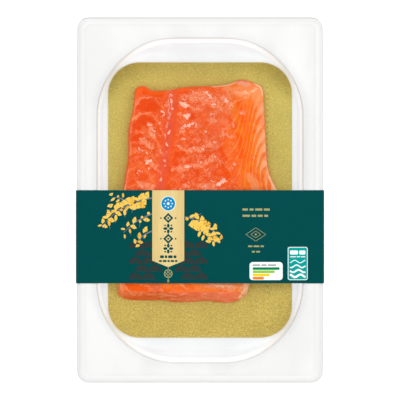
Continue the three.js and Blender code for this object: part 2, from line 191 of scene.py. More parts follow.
# Milky patches
HAZES = (
    (-31.0, 46.0, -28.0, 38.0, 1.5),
    (-36.0, 36.4, -29.0, 32.5, 1.7),
    (-33.0, 24.0, -27.0, 20.0, 1.3),
    (-27.6, 20.6, -23.8, 16.0, 0.7),
    (-24.0, 43.4, -21.0, 38.4, 0.6),
    (-24.8, 31.0, -21.8, 27.2, 0.6),
    (-36.0, 9.0, -29.0, 8.0, 2.2),
    (-20.8, 60.4, -20.6, 57.0, 0.9),
    (-7.4, 57.2, 1.0, 54.6, 0.9),
    (-4.0, 63.0, 2.0, 62.0, 3.2),
    (2.0, 65.5, 10.0, 58.0, 2.6),
    (14.5, 62.5, 18.0, 59.0, 2.2),
    (5.4, 49.0, 8.6, 48.2, 1.4),
    (-12.4, 52.6, -11.4, 51.8, 1.0),
    (-9.0, 42.6, -13.0, 40.2, 0.6),
    (-12.0, 31.6, -7.6, 30.4, 0.7),
    (-7.0, 30.4, 0.0, 30.6, 1.5),
    (0.5, 31.4, 9.0, 35.0, 1.4),
    (-16.6, 19.2, -9.0, 19.2, 1.6),
    (-9.0, 20.4, 1.0, 21.4, 1.7),
    (1.0, 21.8, 9.4, 26.8, 1.4),
    (-1.0, 8.4, 9.0, 8.0, 1.7),
    (-10.5, 9.6, -7.0, 7.6, 0.8),
    (22.6, 66.0, 30.5, 64.4, 1.3),
    (25.0, 53.4, 26.5, 52.8, 1.2),
    (19.4, 46.0, 20.4, 44.8, 0.7),
    (13.8, 40.6, 19.6, 38.2, 0.9),
    (-28.0, -52.0, -24.0, -56.0, 0.8),
    (-11.6, -51.4, -7.6, -55.2, 0.8),
    (4.0, -52.5, 22.0, -53.0, 1.4),
)

# Thin pale streaks
STREAKS = (
    (-37.4, 69.6, -35.8, 69.8, 0.45),
    (-40.8, 54.8, -37.4, 60.4, 0.7),
    (-41.0, 49.4, -38.2, 51.6, 0.7),
    (-37.4, 60.4, -34.9, 62.8, 0.6),
    (-34.9, 62.8, -29.8, 62.8, 0.4),
    (-39.5, 49.6, -36.9, 52.3, 0.6),
    (-36.9, 52.3, -33.3, 53.5, 0.5),
    (-33.3, 53.5, -29.8, 52.8, 0.35),
    (-29.8, 52.8, -26.6, 49.6, 0.35),
    (-26.6, 49.6, -25.1, 47.1, 0.3),
    (-20.4, 66.0, -18.0, 67.0, 0.4),
    (-26.4, 32.3, -22.6, 26.6, 0.35),
    (25.8, 66.6, 32.0, 66.1, 0.5),
    (17.2, 55.8, 22.3, 60.4, 0.45),
    (22.3, 60.4, 30.6, 64.4, 0.4),
    (9.6, 63.4, 11.2, 58.6, 0.5),
    (16.8, 66.4, 18.4, 62.2, 0.5),
    (14.2, 57.2, 18.6, 55.4, 0.4),
    (37.8, 55.6, 41.0, 60.4, 0.5),
    (19.6, 45.1, 21.7, 49.2, 0.4),
    (40.6, 20.6, 43.0, 13.4, 0.3),
    (-42.5, -56.8, -28.0, -57.5, 0.4),
    (-37.4, -51.2, -33.6, -52.4, 0.55),
    (-32.8, -51.6, -27.0, -56.6, 0.5),
    (-30.8, -58.3, -28.0, -58.5, 0.5),
    (-27.4, -54.0, -27.7, -57.3, 0.35),
    (-24.8, -52.0, -23.0, -55.8, 0.35),
    (-10.6, -52.2, -7.9, -54.1, 0.35),
    (11.2, -51.8, 15.7, -52.4, 0.5),
    (16.8, -55.2, 21.2, -55.2, 0.7),
)

# Thin fat
PALES = (
    (-41.8, 57.8, -40.0, 60.4, 0.4),
    (22.6, 65.8, 25.4, 66.4, 0.3),
    (25.4, 66.4, 30.6, 64.8, 0.3),
    (30.6, 64.8, 35.4, 68.4, 0.3),
    (9.0, -52.3, 20.0, -53.0, 0.35),
    (27.8, -52.4, 26.6, -56.8, 0.9),
    (26.6, -56.8, 24.6, -60.0, 1.2),
)

# Thin fat along the loin's own outline
EDGES = (
    (-43.9, 15.0, -45.5, 6.0, 0.55),
    (9.0, 69.8, 15.0, 70.2, 2.2),
    (15.0, 70.2, 20.6, 72.2, 2.2),
    (34.0, 72.0, 37.6, 70.0, 1.8),
    (37.6, 70.0, 39.8, 65.2, 1.8),
    (43.0, 13.4, 46.6, 7.4, 1.8),
    (29.0, -50.0, 27.6, -57.0, 1.8),
)

# Dull pink skin
MEMBRANES = (
    (24.0, 72.4, 28.4, 70.8, 1.9),
    (-19.2, 63.0, -18.6, 50.0, 0.5),
    (-19.9, 47.0, -20.3, 44.0, 0.6),
)

# Milky flesh with soft borders
SOFTS = (
    (15.6, 68.6, 23.0, 67.6, 1.9),
    (24.0, 67.4, 35.0, 66.0, 4.2),
    (34.0, 63.0, 37.6, 57.6, 2.8),
    (30.0, 14.0, 37.0, 4.0, 2.4),
    (7.0, -52.2, 25.0, -53.4, 2.0),
    (-47.8, -51.4, -48.6, -58.4, 1.9),
    (-46.6, -53.0, -42.2, -56.4, 0.8),
)

# Painted highlight rings round small drops, each with its middle and radius
GLINT_RINGS = (
    (-3.9, 45.6, 1.7),
    (14.4, 58.5, 1.4),
    (28.8, 63.0, 1.9),
    (25.2, 17.2, 1.5),
    (-10.6, 36.8, 0.9),
    (2.2, 62.6, 1.2),
    (9.4, 49.9, 1.0),
)

# Clear, dark patches
DEEPS = (
    (-35.0, 58.0, -28.0, 58.0, 4.2),
    (-36.0, 49.6, -29.0, 49.0, 2.8),
    (-40.6, 45.6, -38.0, 44.6, 1.8),
    (-41.0, 38.0, -37.0, 38.6, 2.0),
    (-33.0, 65.4, -24.0, 65.2, 2.0),
    (-12.6, 66.6, -8.0, 66.8, 1.7),
    (-6.6, 54.4, -4.6, 50.4, 1.5),
    (-13.4, 27.6, -11.0, 28.0, 2.0),
    (-19.6, 19.0, -18.0, 18.4, 1.6),
    (23.0, 58.6, 24.4, 60.4, 1.3),
    (24.0, 39.5, 25.2, 27.0, 1.7),
    (12.4, 31.0, 15.2, 24.6, 1.4),
    (14.0, 20.4, 17.2, 14.4, 1.5),
    (17.6, 50.4, 20.6, 44.6, 1.5),
    (24.4, 56.0, 26.4, 48.6, 1.5),
    (-15.6, 24.4, -14.8, 20.8, 1.3),
    (31.0, 18.0, 31.6, 20.0, 1.2),
    (-44.4, -52.6, -33.6, -53.8, 2.0),
    (-47.0, 5.0, -45.9, 14.0, 0.7),
    (-2.0, 17.5, -1.2, 15.5, 1.4),
)


def linear(red, green, blue):
    """A colour as it shows on screen, from 0 to 255, as the linear values that shaders take."""
    shown = [channel / 255 for channel in (red, green, blue)]
    return tuple(c / 12.92 if c <= 0.04045 else ((c + 0.055) / 1.055) ** 2.4 for c in shown)


# Colours of small things that have no setting
GLITTER = linear(240, 224, 140)
DARK_DOT = linear(120, 104, 40)
PALE_DOT = linear(240, 226, 130)
SCRATCH = linear(236, 222, 150)
CARD_EDGE = linear(228, 214, 160)
WORN_FOLD = linear(120, 150, 146)
RIBBON_SHEEN = linear(246, 226, 170)


def colour_setting(name, description, shown):
    return FloatVectorProperty(
        name=name, description=description, subtype="COLOR", size=3, min=0, max=1, default=linear(*shown)
    )


def share_setting(name, description, default):
    return FloatProperty(name=name, description=description, subtype="FACTOR", min=0, max=1, default=default)


def length_setting(name, description, millimetres):
    return FloatProperty(name=name, description=description, unit="LENGTH", min=0, default=millimetres * MM)


def power_setting(name, description, watts):
    return FloatProperty(name=name, description=description, unit="POWER", default=watts)


class TrayLook(bpy.types.PropertyGroup):
    plastic: colour_setting("Plastic", "White plastic of the tray", (242, 242, 241))
    # Painted shade and painted reflection of the gold: the thin warm line along the recess's edge
    edge_line_shade: colour_setting("Edge tint", "Thin line where the flange turns down", (190, 185, 177))
    # Painted shade: the colour of the soft bands along the rim and beside the recess
    shade: colour_setting("Shade", "Plastic in the soft bands along the rim and the recess", (200, 200, 200))
    # Painted shade on the outermost strip of the rim, darker at the upper end
    rim_turn_shade: colour_setting("Rim turn", "Outermost strip of the rim, towards the lamps", (229, 229, 229))
    rim_turn_end_shade: colour_setting("Rim turn at end", "The same strip at the upper end", (189, 189, 189))
    # Painted light on the crest strip just inside the rim
    rim_crest_light: colour_setting("Rim crest", "Strip beside it, where the rim turns down", (248, 248, 248))
    # Painted glow: the recess's darker base colour under its glow
    inside: colour_setting("Inside", "Plastic inside the recess, which also glows", (150, 150, 150))
    roughness: share_setting("Roughness", "How blurred the plastic's reflections are", 0.32)
    rim_shade: share_setting("Rim shade", "How dark the band along the outer rim is", 0.28)
    # Painted glow, standing in for light through the thin plastic
    painted_glow: share_setting("Glow", "Light that the thin plastic of the recess lets through", 0.6)


class CardLook(bpy.types.PropertyGroup):
    gold: colour_setting("Gold", "Gold face of the card", (203, 186, 96))
    gold_low: colour_setting("Gold low", "The same at its lower end", (207, 183, 94))
    # Painted shade for the corners that bend up and for the card's upper end
    fold: colour_setting("Fold", "Gold where the card's corners bend up", (172, 150, 68))
    grain: share_setting("Grain", "How much the gold's fine grain shows", 0.7)
    dot_pitch: length_setting("Dot pitch", "Distance between the scored dots", 1.75)


class LoinLook(bpy.types.PropertyGroup):
    lean: colour_setting("Lean", "Flesh of the back", (238, 87, 24))
    deep: colour_setting("Deep", "Smooth, clear patches of flesh", (232, 70, 4))
    belly: colour_setting("Belly", "Flesh of the belly side", (243, 118, 14))
    belly_deep: colour_setting("Belly deep", "Clear patches on the belly side", (246, 92, 2))
    belly_edge: colour_setting("Belly edge", "Paler flesh along the belly's edge", (241, 140, 74))
    flap: colour_setting("Flap", "Milky flesh of the flap at the upper right", (242, 152, 98))
    cream: colour_setting("Cream", "Thin fat along some edges", (252, 202, 158))
    membrane: colour_setting("Membrane", "Dull pink skin on the flap and in the furrow", (235, 160, 136))
    # More orange flesh near the cut, painted lighter to offset the shade under the sleeve's edge
    low_end_lightened: colour_setting("Low end", "Flesh near the slanted cut", (255, 130, 40))
    line: colour_setting("Line", "Pale lines between the flakes", (248, 144, 82))
    stripe: colour_setting("Stripe", "Broad pale stripes at the belly's edge", (250, 172, 128))
    haze: colour_setting("Haze", "Milky membrane on the rough middle", (250, 152, 110))
    # Painted highlight laid on the raised drops
    bead_glint: colour_setting("Bead", "Drops of fat and water", (253, 195, 170))
    furrow: colour_setting("Furrow", "Flesh along the furrow", (231, 94, 64))
    furrow_line: colour_setting("Furrow line", "Thin line in the furrow", (214, 82, 68))
    # Painted light: lighter than the top's flesh, to offset the shade on the sides
    side: colour_setting("Side", "Flesh of the cut sides", (246, 104, 46))
    cut: colour_setting("Cut", "Flesh of the slanted cut at the lower end", (228, 94, 38))
    cut_right: colour_setting("Cut right", "Paler flesh at the right of that cut", (244, 122, 80))
    cut_shade: colour_setting("Cut shade", "Darker streaks in the slanted cut", (220, 64, 12))
    wetness: share_setting("Wetness", "How strongly the wet coat shines", 0.2)


class SleeveLook(bpy.types.PropertyGroup):
    green: colour_setting("Green", "Printed face of the sleeve", (2, 72, 73))
    board: colour_setting("Board", "Unprinted inside of the sleeve", (205, 203, 196))
    ribbon: colour_setting("Ribbon", "Gold ribbon down the sleeve", (217, 191, 125))
    cream: colour_setting("Cream", "Pale border and pale print", (250, 244, 222))
    yellow: colour_setting("Yellow", "Leaves of the sprigs", (240, 197, 88))
    amber: colour_setting("Amber", "Darker leaves of the sprigs", (232, 178, 62))
    twig: colour_setting("Twig", "Twigs of the sprigs", (116, 122, 128))
    grey: colour_setting("Grey", "Dark scallops", (54, 51, 49))
    gilt: colour_setting("Gilt", "Fine gold print", (160, 160, 108))
    blue: colour_setting("Blue", "Round spot on the ribbon", (2, 138, 196))
    teal: colour_setting("Teal", "Upright label", (0, 158, 153))
    seed: IntProperty(name="Seed", description="Arrangement of the leaves", min=0, default=7)


class StageLook(bpy.types.PropertyGroup):
    camera_height: length_setting("Camera height", "Distance of the camera above the flange", 1500)
    view_width: length_setting("View width", "Width of the picture at the flange's height", 243.9)
    overhead_light: power_setting("Overhead light", "Power of the broad lamp above", 41)
    side_light: power_setting("Side light", "Power of each side lamp", 2.2)
    glint_light: power_setting("Glint light", "Power of each small lamp", 1.3)
    ambient: share_setting("Ambient", "Even light from all round", 0.22)


class PackLook(bpy.types.PropertyGroup):
    tray: PointerProperty(type=TrayLook)
    card: PointerProperty(type=CardLook)
    loin: PointerProperty(type=LoinLook)
    sleeve: PointerProperty(type=SleeveLook)
    stage: PointerProperty(type=StageLook)


class Paint:
    """Adds shader nodes to a material or a node group, and hands back their outputs."""

    def __init__(self, tree):
        self.tree = tree

    def feed(self, socket, value):
        if isinstance(value, bpy.types.NodeSocket):
            self.tree.links.new(value, socket)
        elif socket.type == "RGBA":
            socket.default_value = (*value[:3], 1)
        else:
            socket.default_value = value

    def add(self, kind, inputs=None, **settings):
        node = self.tree.nodes.new(kind)
        for name, value in settings.items():
            setattr(node, name, value)
        for name, value in (inputs or {}).items():
            self.feed(node.inputs[name], value)
        return node

    def math(self, operation, *values):
        node = self.add("ShaderNodeMath", operation=operation)
        for socket, value in zip(node.inputs, values):
            self.feed(socket, value)
        return node.outputs[0]

    def product(self, first, *others):
        for other in others:
            first = self.math("MULTIPLY", first, other)
        return first

    def scaled(self, value, factor, offset):
        """The value times the factor, plus the offset."""
        return self.math("MULTIPLY_ADD", value, factor, offset)

    def highest(self, first, *others):
        for other in others:
            first = self.math("MAXIMUM", first, other)
        return first

    def swing(self, noise, strength, around=1.0):
        """A noise from 0 to 1 as a swing of this strength round a value."""
        return self.scaled(self.math("SUBTRACT", noise, 0.5), strength, around)

    def step(self, value, low, high, at_low=0.0, at_high=1.0):
        """Goes smoothly from at_low, where the value is low, to at_high, where it is high."""
        ends = {"Value": value, "From Min": low, "From Max": high, "To Min": at_low, "To Max": at_high}
        return self.add("ShaderNodeMapRange", ends, interpolation_type="SMOOTHSTEP").outputs[0]

    def fall(self, value, low, high):
        """One where the value is below low, and smoothly down to nothing at high."""
        return self.step(value, low, high, 1.0, 0.0)

    def mix(self, share, first, second, blend="MIX"):
        node = self.add("ShaderNodeMix", data_type="RGBA", blend_type=blend)
        self.feed(node.inputs[0], share)
        self.feed(node.inputs[6], first)
        self.feed(node.inputs[7], second)
        return node.outputs[2]

    def tint(self, colour, shade):
        """The colour multiplied by a shade, or by another colour."""
        return self.mix(1.0, colour, shade, "MULTIPLY")

    def millimetres(self, stretch=(1, 1, 1)):
        """The place on the object in millimetres, drawn out along the axes where stretch is below 1."""
        place = self.add("ShaderNodeTexCoord").outputs["Object"]
        scale = tuple(s / MM for s in stretch)
        return self.add("ShaderNodeVectorMath", {0: place, 1: scale}, operation="MULTIPLY").outputs[0]

    def axes(self, place):
        return self.add("ShaderNodeSeparateXYZ", {0: place}).outputs

    def noise(self, place, scale, detail=3.0, roughness=0.5, distortion=0.0, **settings):
        inputs = {"Vector": place, "Scale": scale, "Detail": detail, "Roughness": roughness}
        inputs["Distortion"] = distortion
        return self.add("ShaderNodeTexNoise", inputs, **settings).outputs[0]

    def attribute(self, name):
        return self.add("ShaderNodeAttribute", attribute_name=name).outputs["Fac"]

    def group(self, tree, **inputs):
        node = self.add("ShaderNodeGroup", node_tree=tree)
        for name, value in inputs.items():
            self.feed(node.inputs[name.replace("_", " ").capitalize()], value)
        return node.outputs

    def bump(self, height, distance, strength=1.0):
        inputs = {"Height": height, "Distance": distance * MM, "Strength": strength}
        return self.add("ShaderNodeBump", inputs).outputs[0]


def new_material(name):
    """A material with one Principled shader, and the brush for its nodes."""
    material = bpy.data.materials.new(name)
    material.use_nodes = True
    paint = Paint(material.node_tree)
    shader = material.node_tree.nodes["Principled BSDF"]
    return material, paint, shader


def finish_shader(paint, shader, **inputs):
    for name, value in inputs.items():
        paint.feed(shader.inputs[name.replace("_", " ")], value)


def new_group(name, inputs, outputs):
    """An empty node group, the brush for it, and its input and output nodes."""
    tree = bpy.data.node_groups.new(name, "ShaderNodeTree")
    for socket, kind, default in inputs:
        made = tree.interface.new_socket(name=socket, in_out="INPUT", socket_type=kind)
        made.default_value = default
    for socket, kind in outputs:
        tree.interface.new_socket(name=socket, in_out="OUTPUT", socket_type=kind)
    paint = Paint(tree)
    return tree, paint, paint.add("NodeGroupInput").outputs, paint.add("NodeGroupOutput").inputs


def fine_grain():
    """Fine grain of a sheet: a shade round 1 that tints the colour, and a height for its bump."""
    known = bpy.data.node_groups.get("Fine grain")
    if known:
        return known
    inputs = (("Scale", "NodeSocketFloat", 1.0), ("Contrast", "NodeSocketFloat", 0.1))
    outputs = (("Shade", "NodeSocketFloat"), ("Height", "NodeSocketFloat"))
    tree, paint, given, result = new_group("Fine grain", inputs, outputs)
    place = paint.millimetres()
    fine = paint.noise(place, given["Scale"], 2.0, 0.6)
    broad_scale = paint.math("MULTIPLY", given["Scale"], 0.13)
    broad = paint.noise(place, broad_scale, 2.0, 0.5)
    both = paint.scaled(broad, 0.35, paint.math("MULTIPLY", fine, 0.65))
    paint.feed(result["Shade"], paint.swing(both, given["Contrast"]))
    paint.feed(result["Height"], fine)
    return tree


def rounded_outline():
    """Distance in millimetres from a rounded rectangle round the middle, negative inside it."""
    known = bpy.data.node_groups.get("Rounded outline")
    if known:
        return known
    inputs = (
        ("Half width", "NodeSocketFloat", 50.0),
        ("Half length", "NodeSocketFloat", 50.0),
        ("Corner", "NodeSocketFloat", 5.0),
    )
    tree, paint, given, result = new_group("Rounded outline", inputs, (("Distance", "NodeSocketFloat"),))
    x, y, _ = paint.axes(paint.millimetres())
    beyond = []
    for along, half in ((x, given["Half width"]), (y, given["Half length"])):
        inner = paint.math("SUBTRACT", half, given["Corner"])
        beyond.append(paint.math("SUBTRACT", paint.math("ABSOLUTE", along), inner))
    outside = [paint.highest(side, 0.0) for side in beyond]
    squares = [paint.math("MULTIPLY", side, side) for side in outside]
    length = paint.math("SQRT", paint.math("ADD", *squares))
    inside = paint.math("MINIMUM", paint.highest(*beyond), 0.0)
    reach = paint.math("ADD", length, inside)
    paint.feed(result["Distance"], paint.math("SUBTRACT", reach, given["Corner"]))
    return tree


def from_outline(paint, half_width, half_length, corner):
    """The group's distance from one outline, as a value in a material."""
    outlines = rounded_outline()
    return paint.group(outlines, half_width=half_width, half_length=half_length, corner=corner)[0]


def add_object(name, data):
    """Puts a mesh, a lamp or a camera in the scene as a new object, and hands it back."""
    piece = bpy.data.objects.new(name, data)
    bpy.context.scene.collection.objects.link(piece)
    return piece


def merged_copy(node, name):
    """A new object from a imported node, with its triangles merged and paired into quads."""
    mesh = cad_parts[node].data.copy()
    mesh.name = name
    mesh.materials.clear()
    for layer in ("custom_normal", "sharp_face", "sharp_edge"):
        if layer in mesh.attributes:
            mesh.attributes.remove(mesh.attributes[layer])
    bm = bmesh.new()
    bm.from_mesh(mesh)
    bmesh.ops.remove_doubles(bm, verts=bm.verts, dist=0.001 * MM)
    bmesh.ops.join_triangles(
        bm, faces=bm.faces, angle_face_threshold=math.radians(35), angle_shape_threshold=math.radians(60)
    )
    bm.to_mesh(mesh)
    bm.free()
    return add_object(name, mesh)


def shade_smooth(piece, crease_degrees=180):
    piece.data.shade_smooth()
    if crease_degrees < 180:
        piece.data.set_sharp_from_angle(angle=math.radians(crease_degrees))


def stand_for(piece, node):
    """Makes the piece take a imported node's place on the pack's one body."""
    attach(piece, "root")
    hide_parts(node)


def print_piece(name, bm, materials):
    """Turns flat shapes into thin closed layers of ink on the sleeve, each shape at its own height."""
    for vertex in bm.verts:
        vertex.co *= MM
    flat = list(bm.faces)
    bmesh.ops.recalc_face_normals(bm, faces=flat)
    for face in flat:
        if face.normal.z < 0:
            face.normal_flip()
    lower = bmesh.ops.extrude_face_region(bm, geom=flat, use_keep_orig=True)["geom"]
    moved = [g for g in lower if isinstance(g, bmesh.types.BMVert)]
    bmesh.ops.translate(bm, verts=moved, vec=(0, 0, -PRINT_DEPTH * MM))
    bmesh.ops.recalc_face_normals(bm, faces=bm.faces)
    mesh = bpy.data.meshes.new(name)
    bm.to_mesh(mesh)
    bm.free()
    for material in materials:
        mesh.materials.append(material)
    piece = add_object(name, mesh)
    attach(piece, "root")


def place_at(x, y, z, turn=0.0, size=(1.0, 1.0)):
    """A matrix that sizes a flat shape, turns it and puts it at a place."""
    sized = Matrix.Diagonal((*size, 1.0, 1.0))
    return Matrix.Translation((x, y, z)) @ Matrix.Rotation(turn, 4, "Z") @ sized


def ink(verts, number):
    """Gives the faces on these vertices one of the piece's inks."""
    for face in {face for vertex in verts for face in vertex.link_faces}:
        face.material_index = number


def disc(bm, where, radius, segments=20):
    made = bmesh.ops.create_circle(bm, cap_ends=True, segments=segments, radius=radius, matrix=where)
    return made["verts"]


def plate(bm, where, corner=0.0):
    """A unit square at its place, with rounded corners where asked."""
    made = bmesh.ops.create_grid(bm, x_segments=1, y_segments=1, size=0.5, matrix=where)["verts"]
    if not corner:
        return made
    rounded = bmesh.ops.bevel(
        bm,
        geom=made,
        offset=corner,
        segments=4,
        profile=0.5,
        affect="VERTICES",
        material=-1,
    )
    return rounded["verts"]


def arc_band(bm, where, inner, outer, sweep, steps=14):
    """A flat ring, or part of one, from the +X side anticlockwise."""
    ends = [bm.verts.new((inner, 0, 0)), bm.verts.new((outer, 0, 0))]
    edge = bm.edges.new(ends)
    full = sweep > math.tau - 1e-6
    spun = bmesh.ops.spin(
        bm,
        geom=[*ends, edge],
        cent=(0, 0, 0),
        axis=(0, 0, 1),
        angle=sweep,
        steps=steps,
        use_merge=full,
        use_duplicate=False,
    )
    last = [g for g in spun["geom_last"] if isinstance(g, bmesh.types.BMVert)]
    made = {*ends, *last}
    todo = list(made)
    while todo:
        for near in todo.pop().link_edges:
            for vertex in near.verts:
                if vertex not in made:
                    made.add(vertex)
                    todo.append(vertex)
    bmesh.ops.transform(bm, matrix=where, verts=list(made))
    return list(made)


def ribbon_line(bm, points, widths, z):
    """A flat line through the points, as wide at each as it says."""
    made = []
    edge = None
    for i, point in enumerate(points):
        before = Vector(points[max(i - 1, 0)])
        after = Vector(points[min(i + 1, len(points) - 1)])
        across = (after - before).orthogonal().normalized() * widths[i] / 2
        place = Vector(point)
        ends = [bm.verts.new((*(place - across), z)), bm.verts.new((*(place + across), z))]
        if edge:
            bm.faces.new((edge[0], ends[0], ends[1], edge[1]))
        edge = ends
        made += ends
    return made


def leaf(bm, x, y, z, turn, length, width):
    """A flat almond leaf with its foot at the place."""
    made = disc(bm, place_at(0, 0, 0, 0, (length / 2, width / 2)), 1, 12)
    for vertex in made:
        share = vertex.co.x / (length / 2)
        vertex.co.y *= 1 - 0.35 * share * share * share
        vertex.co.x += length / 2
    bmesh.ops.transform(bm, matrix=place_at(x, y, z, turn), verts=made)
    return made


def fan(bm, x, y, z, turn, radius, sweep):
    """A flat fan leaf with a notch in its rim, spread round the way that it points."""
    made = []
    for half in (-1, 1):
        start = turn + (half - 1) / 2 * sweep / 2 + half * 0.03
        where = Matrix.Translation((x, y, z)) @ Matrix.Rotation(start, 4, "Z")
        made += arc_band(bm, where, radius * 0.06, radius * (0.96 + 0.04 * half), sweep / 2 - 0.03, 5)
    return made


def plain_ink(name, shown, roughness=0.42, contrast=0.1):
    """A printed colour with the board's fine grain in it."""
    material, paint, shader = new_material(name)
    grain = paint.group(fine_grain(), scale=1.6, contrast=contrast)
    colour = paint.tint(shown, grain["Shade"])
    normal = paint.bump(grain["Height"], 0.01)
    finish_shader(
        paint, shader, Base_Color=colour, Normal=normal, Roughness=roughness, Specular_IOR_Level=0.06
    )
    return material


class PackStep:
    """What the operators share: they run in order from the script or the sidebar."""

    bl_options = {"REGISTER", "UNDO"}

    @staticmethod
    def look(context):
        return context.scene.salmon_pack


def between(paint, value, low, high, soft):
    """One where the value lies between two limits, with soft ends."""
    rising = paint.step(value, low - soft, low + soft)
    falling = paint.fall(value, high - soft, high + soft)
    return paint.product(rising, falling)


def painted_recess_glow(paint, look, recess, card, across, along):
    """Painted glow of the recess, for light through its thin plastic: its strength and tint by wall, ledge,
    floor and corner, with painted shadow beside the card and a warm painted reflection at the corners.
    """
    at_end = paint.step(along, 88.0, 97.0)
    at_corner = paint.product(paint.step(across, 26.0, 46.0), paint.step(along, 60.0, 78.0))
    wall_foot = paint.step(along, 60.0, 90.0, 0.75, 2.1)
    wall = paint.step(paint.math("ADD", recess, wall_foot), -0.3, 0.3)
    wall = paint.product(wall, paint.fall(recess, 0.7, 1.3))
    ledge = paint.product(between(paint, recess, *LEDGE_BAND, 0.5), at_end)
    groove = paint.product(between(paint, recess, *GROOVE_BAND, 0.4), at_end)
    end_floor = paint.product(paint.step(recess, -11.0, -2.5), paint.step(along, 78.0, 88.0))
    wall_strength = paint.scaled(at_corner, -0.18, 0.16)
    strength = paint.scaled(wall, wall_strength, look.painted_glow)
    for band, share in ((ledge, 0.03), (groove, -0.03), (end_floor, 0.08)):
        strength = paint.scaled(band, share, strength)
    # Painted shadow: less glow beside the card
    strength = paint.product(strength, paint.step(card, 0.0, 1.8, 0.9, 1.0))
    # Painted reflection: a warm tint of the gold on the walls at the corners
    tint = paint.mix(paint.product(at_corner, wall), (0.97, 0.985, 1.0), (1.0, 0.972, 0.93))
    return strength, tint


def flange_colours(paint, look, rim, recess, y, by_end, off_flat_end):
    """The white flange, with painted shade along the rim and beside the recess, a painted light crest near
    the rim and a darker painted strip where it turns down.
    """
    at_upper_end = paint.step(y, TRAY_HIGH.y - 2.0, TRAY_HIGH.y - 1.2)
    at_lower_end = paint.fall(y, TRAY_LOW.y + 1.0, TRAY_LOW.y + 9.0)
    # Painted shade along the rim, weaker at the lower end
    rim_band_shade = paint.step(rim, -7.0, -2.2, 0.0, look.rim_shade)
    rim_band_shade = paint.product(rim_band_shade, paint.scaled(at_lower_end, -0.6, 1.0))
    # Painted shade beside the recess, weaker at its ends and gone at the flat upper end
    near_recess_shade = paint.step(recess, 0.5, 6.0, 0.25, 0.0)
    near_recess_shade = paint.product(near_recess_shade, paint.scaled(by_end, -0.5, 1.0), off_flat_end)
    colour = paint.mix(paint.highest(rim_band_shade, near_recess_shade), look.plastic, look.shade)
    # Painted light: a paler crest just inside the rim
    colour = paint.mix(between(paint, rim, -1.2, -0.6, 0.25), colour, look.rim_crest_light)
    # Painted shade on the outermost strip, darker at the upper end
    turn_shade_colour = paint.mix(at_upper_end, look.rim_turn_shade, look.rim_turn_end_shade)
    return paint.mix(paint.step(rim, -0.8, -0.3), colour, turn_shade_colour)


def tray_plastic(look):
    material, paint, shader = new_material("Tray plastic")
    recess = from_outline(paint, *RECESS_HALF, RECESS_CORNER)
    rim = from_outline(paint, TRAY_HIGH.x, TRAY_HIGH.y, PACK_CORNER)
    card = from_outline(paint, CARD_HIGH.x, CARD_HIGH.y, CARD_CORNER)
    x, y, z = paint.axes(paint.millimetres())
    across, along = paint.math("ABSOLUTE", x), paint.math("ABSOLUTE", y)
    by_middle = paint.step(across, 16.0, 32.0, FLAT_END_SHIFT, 0.0)
    flat_end = paint.product(by_middle, paint.step(y, 80.0, 92.0))
    off_flat_end = paint.scaled(flat_end, FLAT_END_FADE, 1.0)
    recess = paint.math("ADD", recess, flat_end)
    by_end = paint.step(along, 70.0, 97.0)
    colour = flange_colours(paint, look, rim, recess, y, by_end, off_flat_end)

    # Painted glow: the recess, and the outer wall below the flange, take the inside colour and glow
    below_flange = paint.fall(z, TRAY_HIGH.z - 2.4, TRAY_HIGH.z - 1.4)
    outer_wall = paint.product(below_flange, paint.fall(recess, 1.5, 2.5))
    inside = paint.highest(paint.fall(recess, -0.5, 0.1), outer_wall)
    colour = paint.mix(inside, colour, look.inside)
    # Painted shade and reflection: a thin warm line along the recess's edge, fainter at the ends
    hairline_shade = between(paint, recess, 0.2, 0.62, 0.12)
    hairline_shade = paint.product(hairline_shade, paint.scaled(by_end, -0.45, 0.85))
    hairline_shade = paint.product(hairline_shade, paint.math("SUBTRACT", 1.0, below_flange), off_flat_end)
    colour = paint.mix(hairline_shade, colour, look.edge_line_shade)
    grain = paint.group(fine_grain(), scale=0.5, contrast=0.02)
    strength, tint = painted_recess_glow(paint, look, recess, card, across, along)
    finish_shader(
        paint,
        shader,
        Base_Color=paint.tint(colour, grain["Shade"]),
        Normal=paint.bump(grain["Height"], 0.02),
        Roughness=look.roughness,
        Specular_IOR_Level=0.35,
        Emission_Color=paint.tint(tint, paint.product(inside, strength)),
        Emission_Strength=1.0,
    )
    return material


class SALMON_OT_make_tray(PackStep, bpy.types.Operator):
    """Thermoformed tray: smooth white plastic with a painted shade line round its recess, painted shade and
    light at its rim, and a painted glow inside the recess
    """

    bl_idname = "salmon_pack.make_tray"
    bl_label = "Tray"

    def execute(self, context):
        piece = merged_copy("tray", "tray_smooth")
        shade_smooth(piece, 50)
        piece.data.materials.append(tray_plastic(self.look(context).tray))
        stand_for(piece, "tray")
        return {"FINISHED"}


def dotted_line(paint, across, along, place, pitch, low, high):
    """Small scored dots, pale and dark in turn, along a straight line. Gives their mask and sign."""
    beside = paint.fall(paint.math("ABSOLUTE", paint.math("SUBTRACT", across, place)), 0.15, 0.4)
    turn = paint.math("MULTIPLY", along, math.tau / pitch)
    wave = paint.math("SINE", turn)
    dots = paint.step(paint.math("ABSOLUTE", wave), 0.6, 0.9)
    within = paint.product(paint.step(along, low, low + 1), paint.fall(along, high, high + 1))
    return paint.product(beside, dots, within), paint.math("SIGN", wave)


